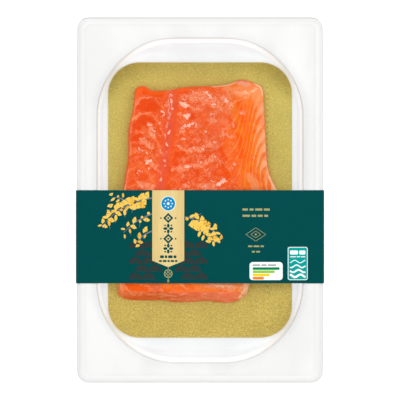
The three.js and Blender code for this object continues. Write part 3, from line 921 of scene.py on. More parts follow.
def card_grain(paint, look, low_down, colour):
    """Tints the gold with its brushed grain and adds glitter. Also gives the height of the grain."""
    place = paint.millimetres()
    brushed = paint.noise(paint.millimetres((0.8, 1.0, 1)), 1.1, 2.0, 0.7)
    fine = paint.noise(place, 1.7, 1.0, 0.5)
    cloud = paint.noise(place, 0.09, 2.0, 0.5)
    grain = paint.swing(brushed, paint.scaled(low_down, 0.35, look.grain))
    grain = paint.swing(fine, paint.scaled(low_down, 0.3, 0.4), grain)
    grain = paint.swing(cloud, 0.2, grain)
    glitter = paint.step(brushed, 0.62, 0.72)
    colour = paint.mix(paint.product(glitter, 0.28), paint.tint(colour, grain), GLITTER)
    return colour, paint.math("ADD", brushed, paint.math("MULTIPLY", fine, 0.5))


def scored_dots(paint, look, x, y, colour):
    """Two lines of scored dots up the card, near its sides, and a fainter one across it."""
    pitch = look.dot_pitch / MM
    for across, along, spot, low, high, strength in (
        (x, y, -41.0, -80.0, 72.0, 0.55),
        (x, y, 41.5, -80.0, 72.0, 0.55),
        (y, x, 40.7, -52.0, 52.0, 0.35),
    ):
        mask, sign = dotted_line(paint, across, along, spot, pitch * 2, low, high)
        dot_colour = paint.mix(paint.step(sign, -0.5, 0.5), DARK_DOT, PALE_DOT)
        colour = paint.mix(paint.product(mask, strength), colour, dot_colour)
    return colour


def scratches(paint, x, y, colour):
    """Fine level scratches at the lower right of the card."""
    scratch = paint.noise(paint.millimetres((0.03, 1.0, 1)), 1.1, 1.0, 0.5)
    low_band = paint.step(y, -80.0, -74.0)
    scratched = paint.product(paint.step(scratch, 0.7, 0.76), low_band, paint.fall(y, -66.0, -60.0))
    scratched = paint.product(scratched, paint.step(x, 0.0, 12.0), 0.5)
    return paint.mix(scratched, colour, SCRATCH)


def gold_face(look):
    material, paint, shader = new_material("Gold card")
    x, y, _ = paint.axes(paint.millimetres())
    rim = from_outline(paint, CARD_HIGH.x, CARD_HIGH.y, CARD_CORNER)
    fold_x, fold_y = CARD_FOLD_WAY
    up_or_down = paint.math("MULTIPLY", paint.math("ABSOLUTE", y), fold_y)
    outward = paint.scaled(paint.math("ABSOLUTE", x), fold_x, up_or_down)
    low_down = paint.fall(y, -70.0, 0.0)
    # Painted shade where the corners bend up, less at the lower end, and along the upper end
    bent_corner_shade = paint.product(paint.step(outward, 78.0, 92.0), paint.scaled(low_down, -0.5, 0.75))
    colour = paint.mix(low_down, look.gold, look.gold_low)
    colour = paint.mix(bent_corner_shade, colour, look.fold)
    colour = paint.mix(paint.step(y, 70.0, 84.0, 0.0, 0.3), colour, look.fold)
    colour, height = card_grain(paint, look, low_down, colour)
    colour = scored_dots(paint, look, x, y, colour)
    colour = scratches(paint, x, y, colour)
    colour = paint.mix(paint.step(rim, -0.7, -0.1, 0.0, 0.35), colour, CARD_EDGE)
    finish_shader(
        paint,
        shader,
        Base_Color=colour,
        Normal=paint.bump(height, 0.02),
        Roughness=0.42,
        Metallic=0.3,
        Specular_IOR_Level=0.4,
    )
    return material


class SALMON_OT_make_card(PackStep, bpy.types.Operator):
    """Gold-faced card under the loin, with its scored dots, grain and corners that bend up, with painted
    shade there and along its upper end
    """

    bl_idname = "salmon_pack.make_card"
    bl_label = "Gold card"

    def execute(self, context):
        piece = merged_copy("gold_card", "gold_card_smooth")
        shade_smooth(piece, 50)
        piece.data.materials.append(gold_face(self.look(context).card))
        stand_for(piece, "gold_card")
        return {"FINISHED"}


def smoothstep(low, high, value):
    t = np.clip((value - low) / (high - low), 0, 1)
    return t * t * (3 - 2 * t)


def bell(value, place, spread):
    return np.exp(-(((value - place) / spread) ** 2))


def furrow_x(y):
    return FURROW_FOOT_X + FURROW_SWING * smoothstep(FURROW_FROM_Y, FURROW_TO_Y, y)


def flake_phase(y, from_furrow, from_belly):
    """How many flakes up the loin a place is: arches left of the furrow, sweeping arms right of it."""
    rise = ARCH_RISE * (1 - (from_furrow / ARCH_REACH + 1) ** 2)
    arches = (y - ARCH_FOOT_Y - rise) / ARCH_PITCH
    turned = np.tanh((from_belly - SWEEP_PLACE) / SWEEP_SPREAD) + math.tanh(SWEEP_PLACE / SWEEP_SPREAD)
    arms = (y - ARM_END_Y + ARM_SLOPE * from_belly + ARM_SWEEP * turned) / ARM_PITCH
    return np.where(from_furrow < 0, arches, arms)


def marks_at(x, y, marks):
    """How strongly the nearest of some listed marks covers each point."""
    cover = np.zeros_like(x)
    for x0, y0, x1, y1, half in marks:
        along = np.array([x1 - x0, y1 - y0])
        share = np.clip(((x - x0) * along[0] + (y - y0) * along[1]) / (along @ along), 0, 1)
        away = np.hypot(x - x0 - share * along[0], y - y0 - share * along[1])
        cover = np.maximum(cover, np.exp(-((away / (half * 1.2)) ** 2)))
    return cover


def glint_rings_at(x, y, rings):
    """How strongly the nearest painted highlight ring, brighter at its upper left where the light falls,
    covers each point.
    """
    cover = np.zeros_like(x)
    for ring_x, ring_y, radius in rings:
        away = np.hypot(x - ring_x, y - ring_y)
        lit = 0.55 + 0.45 * (ring_x - x + y - ring_y) / (radius * math.sqrt(2) + away)
        cover = np.maximum(cover, lit * np.exp(-(((away - radius) / 0.4) ** 2)))
    return cover


def rough(points, scale, octaves, seed):
    """Layered noise at each point, round zero."""
    offset = Vector((seed, seed * 0.7, seed * 1.3))
    return np.array([noise.fractal(Vector(p) * scale + offset, 0.9, 2.0, octaves) for p in points])


def store(mesh, name, values):
    layer = mesh.attributes.new(name, "FLOAT", "POINT")
    layer.data.foreach_set("value", np.asarray(values, np.float32))


def belly_edge_at(x, y, rim):
    """Distance from each point to the loin's right outline at the same height up the loin."""
    marks = np.arange(math.floor(LOIN_LOW.y), math.ceil(LOIN_HIGH.y) + 1.0)
    far = np.array([rim[np.abs(rim[:, 1] - mark) < 1.5][:, 0].max() for mark in marks])
    smooth = np.convolve(np.pad(far, 2, mode="edge"), np.ones(5) / 5, mode="valid")
    return np.interp(y, marks, smooth) - x


def rim_distance_at(x, y, rim):
    """Distance from each point to the nearest one on the loin's rim, seen from above."""
    tree = KDTree(len(rim))
    for i, place in enumerate(rim):
        tree.insert((place[0], place[1], 0), i)
    tree.balance()
    return np.array([tree.find((px, py, 0))[2] for px, py in zip(x, y)])


def face_marks(places, from_rim):
    """How strongly each kind of mark on the loin's face covers each point."""
    x, y, _ = places.T
    warped_x = x + WARP * rough(places, WARP_SCALE, 2, 4.4)
    warped_y = y + WARP * rough(places, WARP_SCALE, 2, 9.2)
    kinds = (BEAD_GLINTS, HAZES, DEEPS, STREAKS, PALES, MEMBRANES, SOFTS)
    covers = [marks_at(warped_x, warped_y, marks) for marks in kinds]
    bead_glints, hazes, deeps, streaks, pales, membranes, softs = covers
    # Painted highlight rings join the pale streaks in one mark
    streaks = np.maximum(streaks, glint_rings_at(x, y, GLINT_RINGS))
    edges = marks_at(x, y, EDGES) * (1 - smoothstep(0.8, 1.8, from_rim))
    return bead_glints, hazes, deeps, streaks, np.maximum(pales, edges), membranes, softs


def read_places(mesh):
    places = np.zeros(len(mesh.vertices) * 3)
    mesh.vertices.foreach_get("co", places)
    return places.reshape(-1, 3) / MM


def write_places(mesh, places):
    mesh.vertices.foreach_set("co", (places * MM).ravel())
    mesh.update()


def refine(piece, held_below, levels=2, softenings=4):
    """Splits a piece's faces evenly, then rounds off the facets above a height, in millimetres."""
    split = piece.modifiers.new("Refine", "SUBSURF")
    split.subdivision_type = "SIMPLE"
    split.levels = split.render_levels = levels
    refined = bpy.data.meshes.new_from_object(piece.evaluated_get(bpy.context.evaluated_depsgraph_get()))
    piece.modifiers.clear()
    bm = bmesh.new()
    bm.from_mesh(refined)
    loose = [vertex for vertex in bm.verts if vertex.co.z > held_below * MM]
    for _ in range(softenings):
        bmesh.ops.smooth_vert(
            bm, verts=loose, factor=0.5, use_axis_x=True, use_axis_y=True, use_axis_z=True
        )
    bm.to_mesh(refined)
    bm.free()
    piece.data = refined


# What the loin's mesh holds for its material at each point
LOIN_READINGS = (
    "flake", "furrow", "belly", "rim", "bead_glint", "haze", "deep",
    "streak_and_glint_ring", "pale", "membrane", "soft", "cut", "upward",
)


def shape_loin(piece):
    """Refines the loin's surface and stores on it what its material needs to know."""
    refine(piece, LOIN_LOW.z + RIM_HEIGHT)
    mesh = piece.data
    places = read_places(mesh)
    normals = np.zeros(places.size, np.float32)
    mesh.vertex_normals.foreach_get("vector", normals)
    normals = normals.reshape(-1, 3)
    x, y, z = places.T
    rim = places[(z > LOIN_LOW.z + 0.3) & (z < LOIN_LOW.z + RIM_HEIGHT)]
    from_rim = rim_distance_at(x, y, rim)
    from_furrow = x - furrow_x(y)
    from_belly = belly_edge_at(x, y, rim)
    phase = flake_phase(y, from_furrow, from_belly)
    bead_glints, hazes, deeps, streaks, pales, membranes, softs = face_marks(places, from_rim)
    upward = np.clip(normals[:, 2], 0, 1)
    top = smoothstep(0.5, 0.95, upward)
    middle = smoothstep(2, 8, from_furrow) * smoothstep(10, 24, from_belly)
    left = smoothstep(-2, -6, from_furrow)
    wet = np.clip(middle + 0.45 * left, 0, 1) * top * (1 - 0.8 * deeps)
    closeness = np.abs(phase - np.floor(phase) - 0.5) * 2
    lines = smoothstep(0.72, 1.0, closeness) * smoothstep(1, 4, np.abs(from_furrow))
    lift = 0.12 * rough(places, 0.22, 4, 3.1) * (0.4 + wet)
    lift += 0.12 * rough(places, 0.8, 3, 8.7) * wet
    lift += 0.16 * bead_glints * top + 0.1 * streaks * top
    lift += 0.14 * hazes * top * (0.5 + rough(places, 0.9, 2, 5.5))
    lift -= 0.12 * lines * top
    lift -= 0.5 * bell(from_furrow, 0, 0.7) * top
    cut = (1 - smoothstep(CUT_TOP_Y - 0.5, CUT_TOP_Y + 1.5, y)) * (z > LOIN_LOW.z + 0.2)
    lift += (0.3 * rough(places, 0.12, 3, 2.2) + 0.16 * rough(places, 0.5, 2, 6.1)) * cut
    lift += SIDE_FULLNESS * (1 - smoothstep(0.3, 0.9, upward)) * smoothstep(0.6, 1.4, z - LOIN_LOW.z)
    lift *= z > LOIN_LOW.z + 0.4
    places = places + normals * lift[:, None]
    places[:, 2] = np.minimum(places[:, 2], FILM_LOW.z - FILM_CLEARANCE)
    write_places(mesh, places)
    distances = (phase, from_furrow, from_belly, from_rim)
    marks = (bead_glints * top, hazes * top, deeps * top, streaks, pales, membranes, softs)
    for name, values in zip(LOIN_READINGS, (*distances, *marks, cut, upward), strict=True):
        store(mesh, name, values)


def flesh_zones(paint, look, read, soft):
    """The loin's broad colours: lean on the left, orange to pale at the belly, clear patches."""
    y = paint.axes(paint.millimetres())[1]
    belly_side = paint.fall(read["belly"], 8.0, 35.0)
    belly_rim = paint.fall(read["belly"], 1.0, 9.0)
    # Near the cut: more orange flesh, painted lighter to offset the shade under the sleeve's edge
    low_end_lightened = paint.step(y, -52.0, -44.0, 0.85, 0.0)
    colour = paint.mix(belly_side, look.lean, look.belly)
    colour = paint.mix(low_end_lightened, colour, look.low_end_lightened)
    colour = paint.mix(paint.product(belly_rim, 0.8), colour, look.belly_edge)
    deep = paint.step(paint.scaled(soft, 0.5, read["deep"]), 0.55, 0.8)
    clear = paint.highest(paint.step(soft, 0.44, 0.54, 0.0, 0.55), paint.product(deep, 0.95))
    towards_belly = paint.highest(belly_side, low_end_lightened)
    return paint.mix(clear, colour, paint.mix(towards_belly, look.deep, look.belly_deep))


def flesh_lines(paint, read, broad, patchy):
    """Pale lines between the flakes: fine arches on the left, broad stripes at the belly's edge."""
    wobble = paint.math("MULTIPLY", paint.math("SUBTRACT", broad, 0.5), 0.6)
    ripple = paint.math("MULTIPLY", paint.math("SUBTRACT", patchy, 0.5), 0.12)
    phase = paint.math("ADD", read["flake"], paint.math("ADD", wobble, ripple))
    halfway = paint.math("MULTIPLY", paint.math("PINGPONG", phase, 0.5), 2.0)
    closeness = paint.math("SUBTRACT", 1.0, halfway)
    left_side = paint.fall(read["furrow"], -3.0, -1.0)
    middle = paint.product(paint.step(read["furrow"], 3.0, 8.0), paint.step(read["belly"], 14.0, 24.0))
    arches = paint.product(paint.step(closeness, 0.9, 0.98), left_side, 0.7)
    shoulders = paint.product(paint.step(closeness, 0.5, 0.95), left_side, 0.2)
    arms = paint.product(paint.step(closeness, 0.84, 0.97), middle, 0.22)
    uneven = paint.step(broad, 0.35, 0.62, 0.4, 1.0)
    fine_lines = paint.highest(arches, shoulders, arms)
    clear_of_furrow = paint.step(paint.math("ABSOLUTE", read["furrow"]), 0.6, 3.0)
    threshold = paint.step(read["belly"], 1.0, 10.0, 0.2, 0.7)
    near_edge = paint.step(read["belly"], 6.0, 15.0, 1.0, 0.85)
    fading = paint.product(near_edge, paint.fall(read["belly"], 15.0, 26.0))
    stripes = paint.product(paint.step(closeness, threshold, paint.math("ADD", threshold, 0.32)), fading)
    below_flap = paint.step(paint.axes(paint.millimetres())[1], 54.0, 64.0, 1.0, 0.35)
    stripes = paint.product(stripes, paint.step(read["haze"], 0.1, 0.5, 1.0, 0.2), uneven, below_flap)
    return paint.product(fine_lines, clear_of_furrow, uneven), stripes


def broken_strokes(paint, place, scale, width, seed):
    """Short curved strokes: level lines of one noise, broken up by another."""
    moved = paint.add("ShaderNodeVectorMath", {0: place, 1: (seed, seed, seed)}, operation="ADD").outputs[0]
    hills = paint.noise(moved, scale, 2.0, 0.55, 0.7)
    level = paint.math("ABSOLUTE", paint.math("SUBTRACT", hills, 0.5))
    line = paint.fall(level, width * 0.3, width)
    gaps = paint.step(paint.noise(moved, scale * 1.3, 2.0, 0.5), 0.46, 0.58)
    return paint.product(line, gaps)


def uneven_mark(paint, cover, waver, strength, low, high):
    """A listed mark with its border broken up by a noise."""
    return paint.step(paint.swing(waver, strength, cover), low, high)


def rough_parts(paint, read, place, y):
    """Where the face is rough and milky: the middle, less so the left, and in patches."""
    middle = paint.product(paint.step(read["furrow"], 2.5, 7.0), paint.step(read["belly"], 15.0, 27.0))
    left = paint.fall(read["furrow"], -5.0, -2.0)
    zone = paint.scaled(left, 0.55, middle)
    zone = paint.product(zone, paint.step(read["deep"], 0.2, 0.6, 1.0, 0.1))
    zone = paint.product(zone, paint.step(read["upward"], 0.6, 0.9))
    calm = paint.step(paint.noise(place, 0.13, 2.0, 0.5, 0.4), 0.42, 0.56)
    up_the_loin = paint.step(y, -52.0, -44.0, 0.5, 1.0)
    return middle, paint.product(zone, paint.scaled(calm, 0.65, 0.35), up_the_loin)


def milky_film(paint, look, read, place, y, noises, colour):
    """Lays membrane and broken strokes over the colour. Also gives veil, strokes, the painted glint specks
    and zone.
    """
    soft, patchy, fine = noises
    middle, rough_zone = rough_parts(paint, read, place, y)
    veil = uneven_mark(paint, read["haze"], patchy, 1.8, 0.25, 0.8)
    wrinkled = paint.step(paint.noise(place, 0.75, 3.0, 0.6, 0.6), 0.42, 0.58)
    milky = paint.product(veil, paint.scaled(wrinkled, 0.55, 0.3))
    mottle_share = paint.scaled(wrinkled, 0.25, 0.25)
    mottle = paint.product(paint.step(patchy, 0.47, 0.59), rough_zone, mottle_share)
    upper_veil = paint.product(middle, paint.step(y, 36.0, 48.0, 0.0, 0.16))
    upper_veil = paint.product(upper_veil, paint.step(soft, 0.42, 0.55))
    colour = paint.mix(upper_veil, colour, look.haze)
    colour = paint.mix(paint.highest(milky, mottle), colour, look.haze)
    wide_strokes = broken_strokes(paint, place, 0.2, 0.035, 11.0)
    thin_strokes = broken_strokes(paint, place, 0.42, 0.05, 37.0)
    strokes = paint.product(paint.highest(wide_strokes, thin_strokes), rough_zone)
    colour = paint.mix(paint.product(strokes, 0.5), colour, look.haze)
    # Painted glints: tiny bright specks in the milky patches and the rough zone
    where_glint_sparks = paint.highest(paint.step(veil, 0.1, 0.7), paint.product(rough_zone, 0.5))
    glint_sparks = paint.product(thin_strokes, where_glint_sparks, paint.step(fine, 0.47, 0.56))
    return colour, veil, strokes, glint_sparks, rough_zone


def furrow_and_skin(paint, look, read, place, patchy, colour):
    """Lays the furrow's band, the broken line in it and the dull skin over the colour."""
    from_furrow = paint.math("ABSOLUTE", read["furrow"])
    colour = paint.mix(paint.step(from_furrow, 1.2, 4.6, 0.55, 0.0), colour, look.furrow)
    furrow_ends = paint.step(paint.noise(place, 0.16, 1.0, 0.5), 0.42, 0.58)
    in_furrow = paint.step(from_furrow, 0.1, 1.1, 0.65, 0.0)
    colour = paint.mix(paint.product(in_furrow, furrow_ends), colour, look.furrow_line)
    skinned = uneven_mark(paint, read["membrane"], patchy, 0.9, 0.3, 0.8)
    return paint.mix(paint.product(skinned, 0.7), colour, look.membrane)


def rim_and_sides(paint, look, read, y, broad, colour):
    """Lays the pale rim over the colour, and the near-upright sides' colours, painted lighter to offset
    their shade.
    """
    pale_rim = paint.step(read["rim"], 0.8, 2.6, 0.4, 0.0)
    pale_rim = paint.product(pale_rim, paint.step(read["upward"], 0.4, 0.8))
    pale_rim = paint.product(pale_rim, paint.step(y, 54.0, 64.0, 1.0, 0.2))
    colour = paint.mix(paint.product(pale_rim, paint.step(broad, 0.4, 0.6)), colour, look.stripe)
    # Painted light: the near-upright sides take a colour lighter than the top to offset their shade
    steep_lightened = paint.step(read["upward"], 0.2, 0.6, 0.8, 0.0)
    belly_skin = paint.step(read["belly"], 2.0, 6.0, 0.8, 0.0)
    return paint.mix(steep_lightened, colour, paint.mix(belly_skin, look.side, look.belly_edge))


def cut_face(paint, look, x):
    """The slanted cut at the lower end: layers, paler to the right, with darker streaks."""
    layers = paint.noise(paint.millimetres((0.25, 0.9, 0.4)), 0.6, 3.0, 0.55, 0.5)
    to_right = paint.step(x, -32.0, 4.0)
    colour = paint.mix(to_right, look.cut, look.cut_right)
    colour = paint.mix(paint.step(layers, 0.52, 0.62, 0.0, 0.55), colour, look.haze)
    fewer_right = paint.scaled(to_right, -0.5, 1.0)
    shade = paint.product(paint.step(layers, 0.36, 0.48, 0.8, 0.0), fewer_right)
    return paint.mix(shade, colour, look.cut_shade)


def top_edge(paint, look, read, x, y, colour):
    """Lays clear flesh along the loin's top edge, left of the flap, over the colour."""
    by_top_edge = paint.product(paint.step(y, 60.0, 65.0, 0.0, 0.75), paint.fall(read["rim"], 1.5, 4.5))
    by_top_edge = paint.product(by_top_edge, paint.fall(x, 10.0, 16.0))
    return paint.mix(by_top_edge, colour, look.belly_deep)


def drops(paint, look, read, fine, glint_sparks, colour):
    """Lays painted glints on the raised drops and painted glint specks over the colour, with a painted shade
    of deep flesh round the drops to set them off.
    """
    glint_edge_shade = uneven_mark(paint, read["bead_glint"], fine, 1.2, 0.1, 0.35)
    colour = paint.mix(paint.product(glint_edge_shade, 0.45), colour, look.deep)
    # Painted glints on the raised drops, and painted glint specks
    glinting = uneven_mark(paint, read["bead_glint"], fine, 2.2, 0.54, 0.68)
    bright = paint.highest(glinting, paint.product(glint_sparks, 0.85))
    return paint.mix(paint.product(bright, 0.9), colour, look.bead_glint)


def salmon_flesh(look):
    material, paint, shader = new_material("Salmon flesh")
    place = paint.millimetres()
    x, y, _ = paint.axes(place)
    read = {name: paint.attribute(name) for name in LOIN_READINGS}
    broad = paint.noise(place, 0.11, 3.0, 0.5)
    soft = paint.noise(place, 0.16, 2.0, 0.5, 0.3)
    patchy = paint.noise(place, 0.34, 4.0, 0.6, 0.5)
    fine = paint.noise(place, 1.3, 3.0, 0.6)
    colour = flesh_zones(paint, look, read, soft)
    softened = uneven_mark(paint, read["soft"], soft, 1.2, 0.2, 0.9)
    colour = paint.mix(paint.product(softened, 0.6), colour, look.flap)
    lines, stripes = flesh_lines(paint, read, broad, patchy)
    colour = paint.mix(lines, colour, look.line)
    belly_rim = paint.fall(read["belly"], 3.0, 11.0)
    colour = paint.mix(stripes, colour, paint.mix(belly_rim, look.line, look.stripe))

    noises = (soft, patchy, fine)
    colour, veil, strokes, glint_sparks, rough_zone = milky_film(paint, look, read, place, y, noises, colour)

    # Pale streaks, and the painted highlight rings that share their mark
    streak_and_ring_mark = uneven_mark(paint, read["streak_and_glint_ring"], fine, 0.8, 0.35, 0.75)
    paled = uneven_mark(paint, read["pale"], patchy, 0.9, 0.3, 0.8)
    paled = paint.product(paled, paint.step(read["upward"], 0.05, 0.3))
    colour = top_edge(paint, look, read, x, y, colour)
    colour = paint.mix(paint.product(streak_and_ring_mark, 0.36), colour, look.stripe)
    colour = furrow_and_skin(paint, look, read, place, patchy, colour)
    colour = rim_and_sides(paint, look, read, y, broad, colour)
    colour = paint.mix(paint.product(paled, 0.75), colour, look.cream)

    marks = ((streak_and_ring_mark, 0.6), (paled, 0.85), (softened, 0.6))
    kept = paint.highest(*(paint.product(mark, share) for mark, share in marks))
    cut_share = paint.product(read["cut"], paint.math("SUBTRACT", 0.95, kept))
    colour = paint.mix(cut_share, colour, cut_face(paint, look, x))
    colour = drops(paint, look, read, fine, glint_sparks, colour)
    colour = paint.tint(colour, paint.swing(fine, 0.42))

    height = paint.scaled(fine, paint.scaled(rough_zone, 0.4, 0.15), strokes)
    height = paint.scaled(veil, 0.4, height)
    height = paint.math("SUBTRACT", height, paint.product(lines, 0.7))
    normal = paint.bump(height, 0.13)
    finish_shader(
        paint,
        shader,
        Base_Color=colour,
        Normal=normal,
        Roughness=0.4,
        Specular_IOR_Level=0.1,
        Subsurface_Weight=0.1,
        Subsurface_Radius=(1.0, 0.3, 0.12),
        Subsurface_Scale=1.2 * MM,
        Coat_Weight=look.wetness,
        Coat_Roughness=0.1,
        Coat_Normal=normal,
    )
    return material


class SALMON_OT_make_loin(PackStep, bpy.types.Operator):
    """Salmon loin: flakes, furrow, membranes and wet drops with painted glints over the solid's own shape"""

    bl_idname = "salmon_pack.make_loin"
    bl_label = "Salmon loin"

    def execute(self, context):
        piece = merged_copy("salmon_loin", "salmon_loin_fine")
        shape_loin(piece)
        shade_smooth(piece)
        piece.data.materials.append(salmon_flesh(self.look(context).loin))
        stand_for(piece, "salmon_loin")
        return {"FINISHED"}


def clear_film():
    material, paint, shader = new_material("Clear film")
    waves = paint.noise(paint.millimetres((1, 0.4, 1)), 0.05, 2.0, 0.5)
    normal = paint.bump(waves, 0.3)
    veil = paint.step(waves, 0.3, 0.7, 0.012, 0.03)
    finish_shader(paint, shader, Base_Color=(0, 0, 0), Alpha=veil, Normal=normal, Roughness=0.06)
    return material


class SALMON_OT_make_film(PackStep, bpy.types.Operator):
    """Clear lid film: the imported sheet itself, almost invisible"""

    bl_idname = "salmon_pack.make_film"
    bl_label = "Lid film"

    def execute(self, context):
        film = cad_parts["lid_film"]
        film.data.materials.clear()
        film.data.materials.append(clear_film())
        return {"FINISHED"}


def sleeve_print(look):
    material, paint, shader = new_material("Sleeve print")
    grain = paint.group(fine_grain(), scale=1.4, contrast=0.22)
    colour = paint.tint(look.green, grain["Shade"])
    x, _, z = paint.axes(paint.millimetres())
    from_fold = paint.math("SUBTRACT", SLEEVE_HIGH.x, paint.math("ABSOLUTE", x))
    near_top = paint.step(z, FACE_Z - 1.4, FACE_Z - 0.3)
    worn = paint.noise(paint.millimetres(), 0.8, 3.0, 0.6)
    fold = paint.product(paint.fall(from_fold, 0.25, 1.1), near_top, paint.step(worn, 0.45, 0.7))
    colour = paint.mix(paint.product(fold, 0.35), colour, WORN_FOLD)
    normal = paint.bump(grain["Height"], 0.012)
    finish_shader(paint, shader, Base_Color=colour, Normal=normal, Roughness=0.5, Specular_IOR_Level=0.02)
    return material


# Materials of the sleeve's piece
PRINTED, INSIDE, CUT_EDGE = range(3)


def sort_sleeve_faces(mesh):
    """Keeps the board below its print, and tells printed, inner and cut faces apart."""
    for vertex in mesh.vertices:
        vertex.co.z = min(vertex.co.z, FACE_Z * MM)
    mesh.update()
    middle = Vector((0, SLEEVE_MIDDLE_Y, SLEEVE_HIGH.z / 2)) * MM
    for face in mesh.polygons:
        away = face.center - middle
        if abs(face.normal.y) > 0.7:
            face.material_index = CUT_EDGE
        elif face.normal.x * away.x + face.normal.z * away.z < 0:
            face.material_index = INSIDE
        else:
            face.material_index = PRINTED


class SALMON_OT_make_sleeve(PackStep, bpy.types.Operator):
    """Folded card sleeve: printed outside, bare board inside and at its cut edges"""

    bl_idname = "salmon_pack.make_sleeve"
    bl_label = "Sleeve"

    def execute(self, context):
        look = self.look(context).sleeve
        piece = merged_copy("sleeve", "sleeve_board")
        sort_sleeve_faces(piece.data)
        shade_smooth(piece, 35)
        piece.data.materials.append(sleeve_print(look))
        piece.data.materials.append(plain_ink("Sleeve inside", look.board, 0.6))
        piece.data.materials.append(plain_ink("Sleeve core", look.board, 0.8, 0.3))
        stand_for(piece, "sleeve")
        return {"FINISHED"}


# The ribbon down the sleeve, and what is printed on it and beside it
RIBBON_LEFT = -29.1
RIBBON_RIGHT = -9.6
RIBBON_MIDDLE = (RIBBON_LEFT + RIBBON_RIGHT) / 2
RIBBON_FOOT_Y = -37.0
RIBBON_POINT_Y = -40.9
RIBBON_TOP_Y = SLEEVE_HIGH.y - 0.05
SCALLOP_RADIUS = 4.0
SCALLOP_ROWS = 5
SCALLOP_LOW_Y = -48.4
SCALLOP_RISE = 1.2
SCALLOP_RINGS = ((0.66, 0.98), (0.26, 0.52), (0.02, 0.14))
SPOT_Y = -2.2
RING_Y = -44.9
MARK_ROWS_Y = (-11.0, -17.4, -23.6, -29.6)

# Rows of bars at the ribbon's foot, each with its place, height and widths, and the gap in them
FOOT_BARS = ((-34.6, 1.7, (2.4, 1.5, 2.8, 1.8)), (-37.2, 1.2, (1.7, 2.4, 1.4, 2.2, 1.5)))
FOOT_BAR_GAP = 0.5

# Inks of the ribbon's piece
RIBBON_GOLD, CREAM, GREEN, BLUE, GILT = range(5)


def ribbon_gold(look):
    material, paint, shader = new_material("Ribbon gold")
    threads = paint.noise(paint.millimetres((1, 0.05, 1)), 1.5, 2.0, 0.6)
    shade = paint.swing(threads, 0.3)
    colour = paint.tint(look.ribbon, shade)
    x, _, _ = paint.axes(paint.millimetres())
    from_middle = paint.math("ABSOLUTE", paint.math("SUBTRACT", x, RIBBON_MIDDLE))
    colour = paint.mix(paint.step(from_middle, 2.0, 9.0, 0.25, 0.0), colour, RIBBON_SHEEN)
    normal = paint.bump(threads, 0.01)
    finish_shader(paint, shader, Base_Color=colour, Normal=normal, Roughness=0.4, Specular_IOR_Level=0.2)
    return material


def ribbon_body(bm):
    """The long pennant with its pale border."""
    width = RIBBON_RIGHT - RIBBON_LEFT
    length = RIBBON_TOP_Y - RIBBON_FOOT_Y
    where = place_at(RIBBON_MIDDLE, (RIBBON_TOP_Y + RIBBON_FOOT_Y) / 2, LOW_INK_Z, 0, (width, length))
    corners = plate(bm, where)
    foot = [e for v in corners for e in v.link_edges if all(p.co.y < RIBBON_FOOT_Y + 1 for p in e.verts)]
    split = bmesh.ops.subdivide_edges(bm, edges=list(set(foot)), cuts=1)
    point = next(g for g in split["geom_inner"] if isinstance(g, bmesh.types.BMVert))
    point.co.y = RIBBON_POINT_Y
    rim = bmesh.ops.inset_region(bm, faces=list(bm.faces), thickness=0.45, use_even_offset=True)["faces"]
    for face in rim:
        face.material_index = CREAM


def lozenge_mark(bm, y):
    """A lozenge ring with a core and a dot on each side."""
    squares = ((MIDDLE_INK_Z, 4.4, GREEN), (HIGH_INK_Z, 2.2, RIBBON_GOLD), (TOP_INK_Z, 1.1, GREEN))
    for z, side, number in squares:
        ink(plate(bm, place_at(RIBBON_MIDDLE, y, z, math.pi / 4, (side, side))), number)
    for side in (-1, 1):
        ink(disc(bm, place_at(RIBBON_MIDDLE + side * 4.5, y, MIDDLE_INK_Z), 0.5, 10), GREEN)


def petal_mark(bm, y):
    """Four petals crosswise, with small discs between their tips."""
    for quarter in range(4):
        turn = quarter * math.pi / 2
        foot = Vector((RIBBON_MIDDLE, y)) + 0.5 * Vector((math.cos(turn), math.sin(turn)))
        ink(leaf(bm, foot.x, foot.y, MIDDLE_INK_Z, turn, 2.6, 1.7), GREEN)
        aside = turn + math.pi / 4
        spot = Vector((RIBBON_MIDDLE, y)) + 2.7 * Vector((math.cos(aside), math.sin(aside)))
        ink(disc(bm, place_at(spot.x, spot.y, MIDDLE_INK_Z), 0.55, 12), GREEN)


def ribbon_marks(bm):
    """Lozenges and petals in turn down the ribbon, and two rows of bars at its foot."""
    for row, y in enumerate(MARK_ROWS_Y):
        mark = petal_mark if row % 2 else lozenge_mark
        mark(bm, y)
    for y, height, widths in FOOT_BARS:
        left = RIBBON_MIDDLE - (sum(widths) + FOOT_BAR_GAP * (len(widths) - 1)) / 2
        bar_row(bm, left, y, height, widths, GREEN, FOOT_BAR_GAP, MIDDLE_INK_Z)


def round_spot(bm):
    """A blue disc with a pale rim, and on it eight small discs round a larger one."""
    ink(disc(bm, place_at(RIBBON_MIDDLE, SPOT_Y, MIDDLE_INK_Z), 4.55, 36), CREAM)
    ink(disc(bm, place_at(RIBBON_MIDDLE, SPOT_Y, HIGH_INK_Z), 4.2, 36), BLUE)
    for eighth in range(8):
        turn = eighth * math.pi / 4
        x, y = RIBBON_MIDDLE + 2.4 * math.cos(turn), SPOT_Y + 2.4 * math.sin(turn)
        ink(disc(bm, place_at(x, y, TOP_INK_Z), 0.42, 12), CREAM)
    ink(disc(bm, place_at(RIBBON_MIDDLE, SPOT_Y, TOP_INK_Z), 0.8, 18), CREAM)


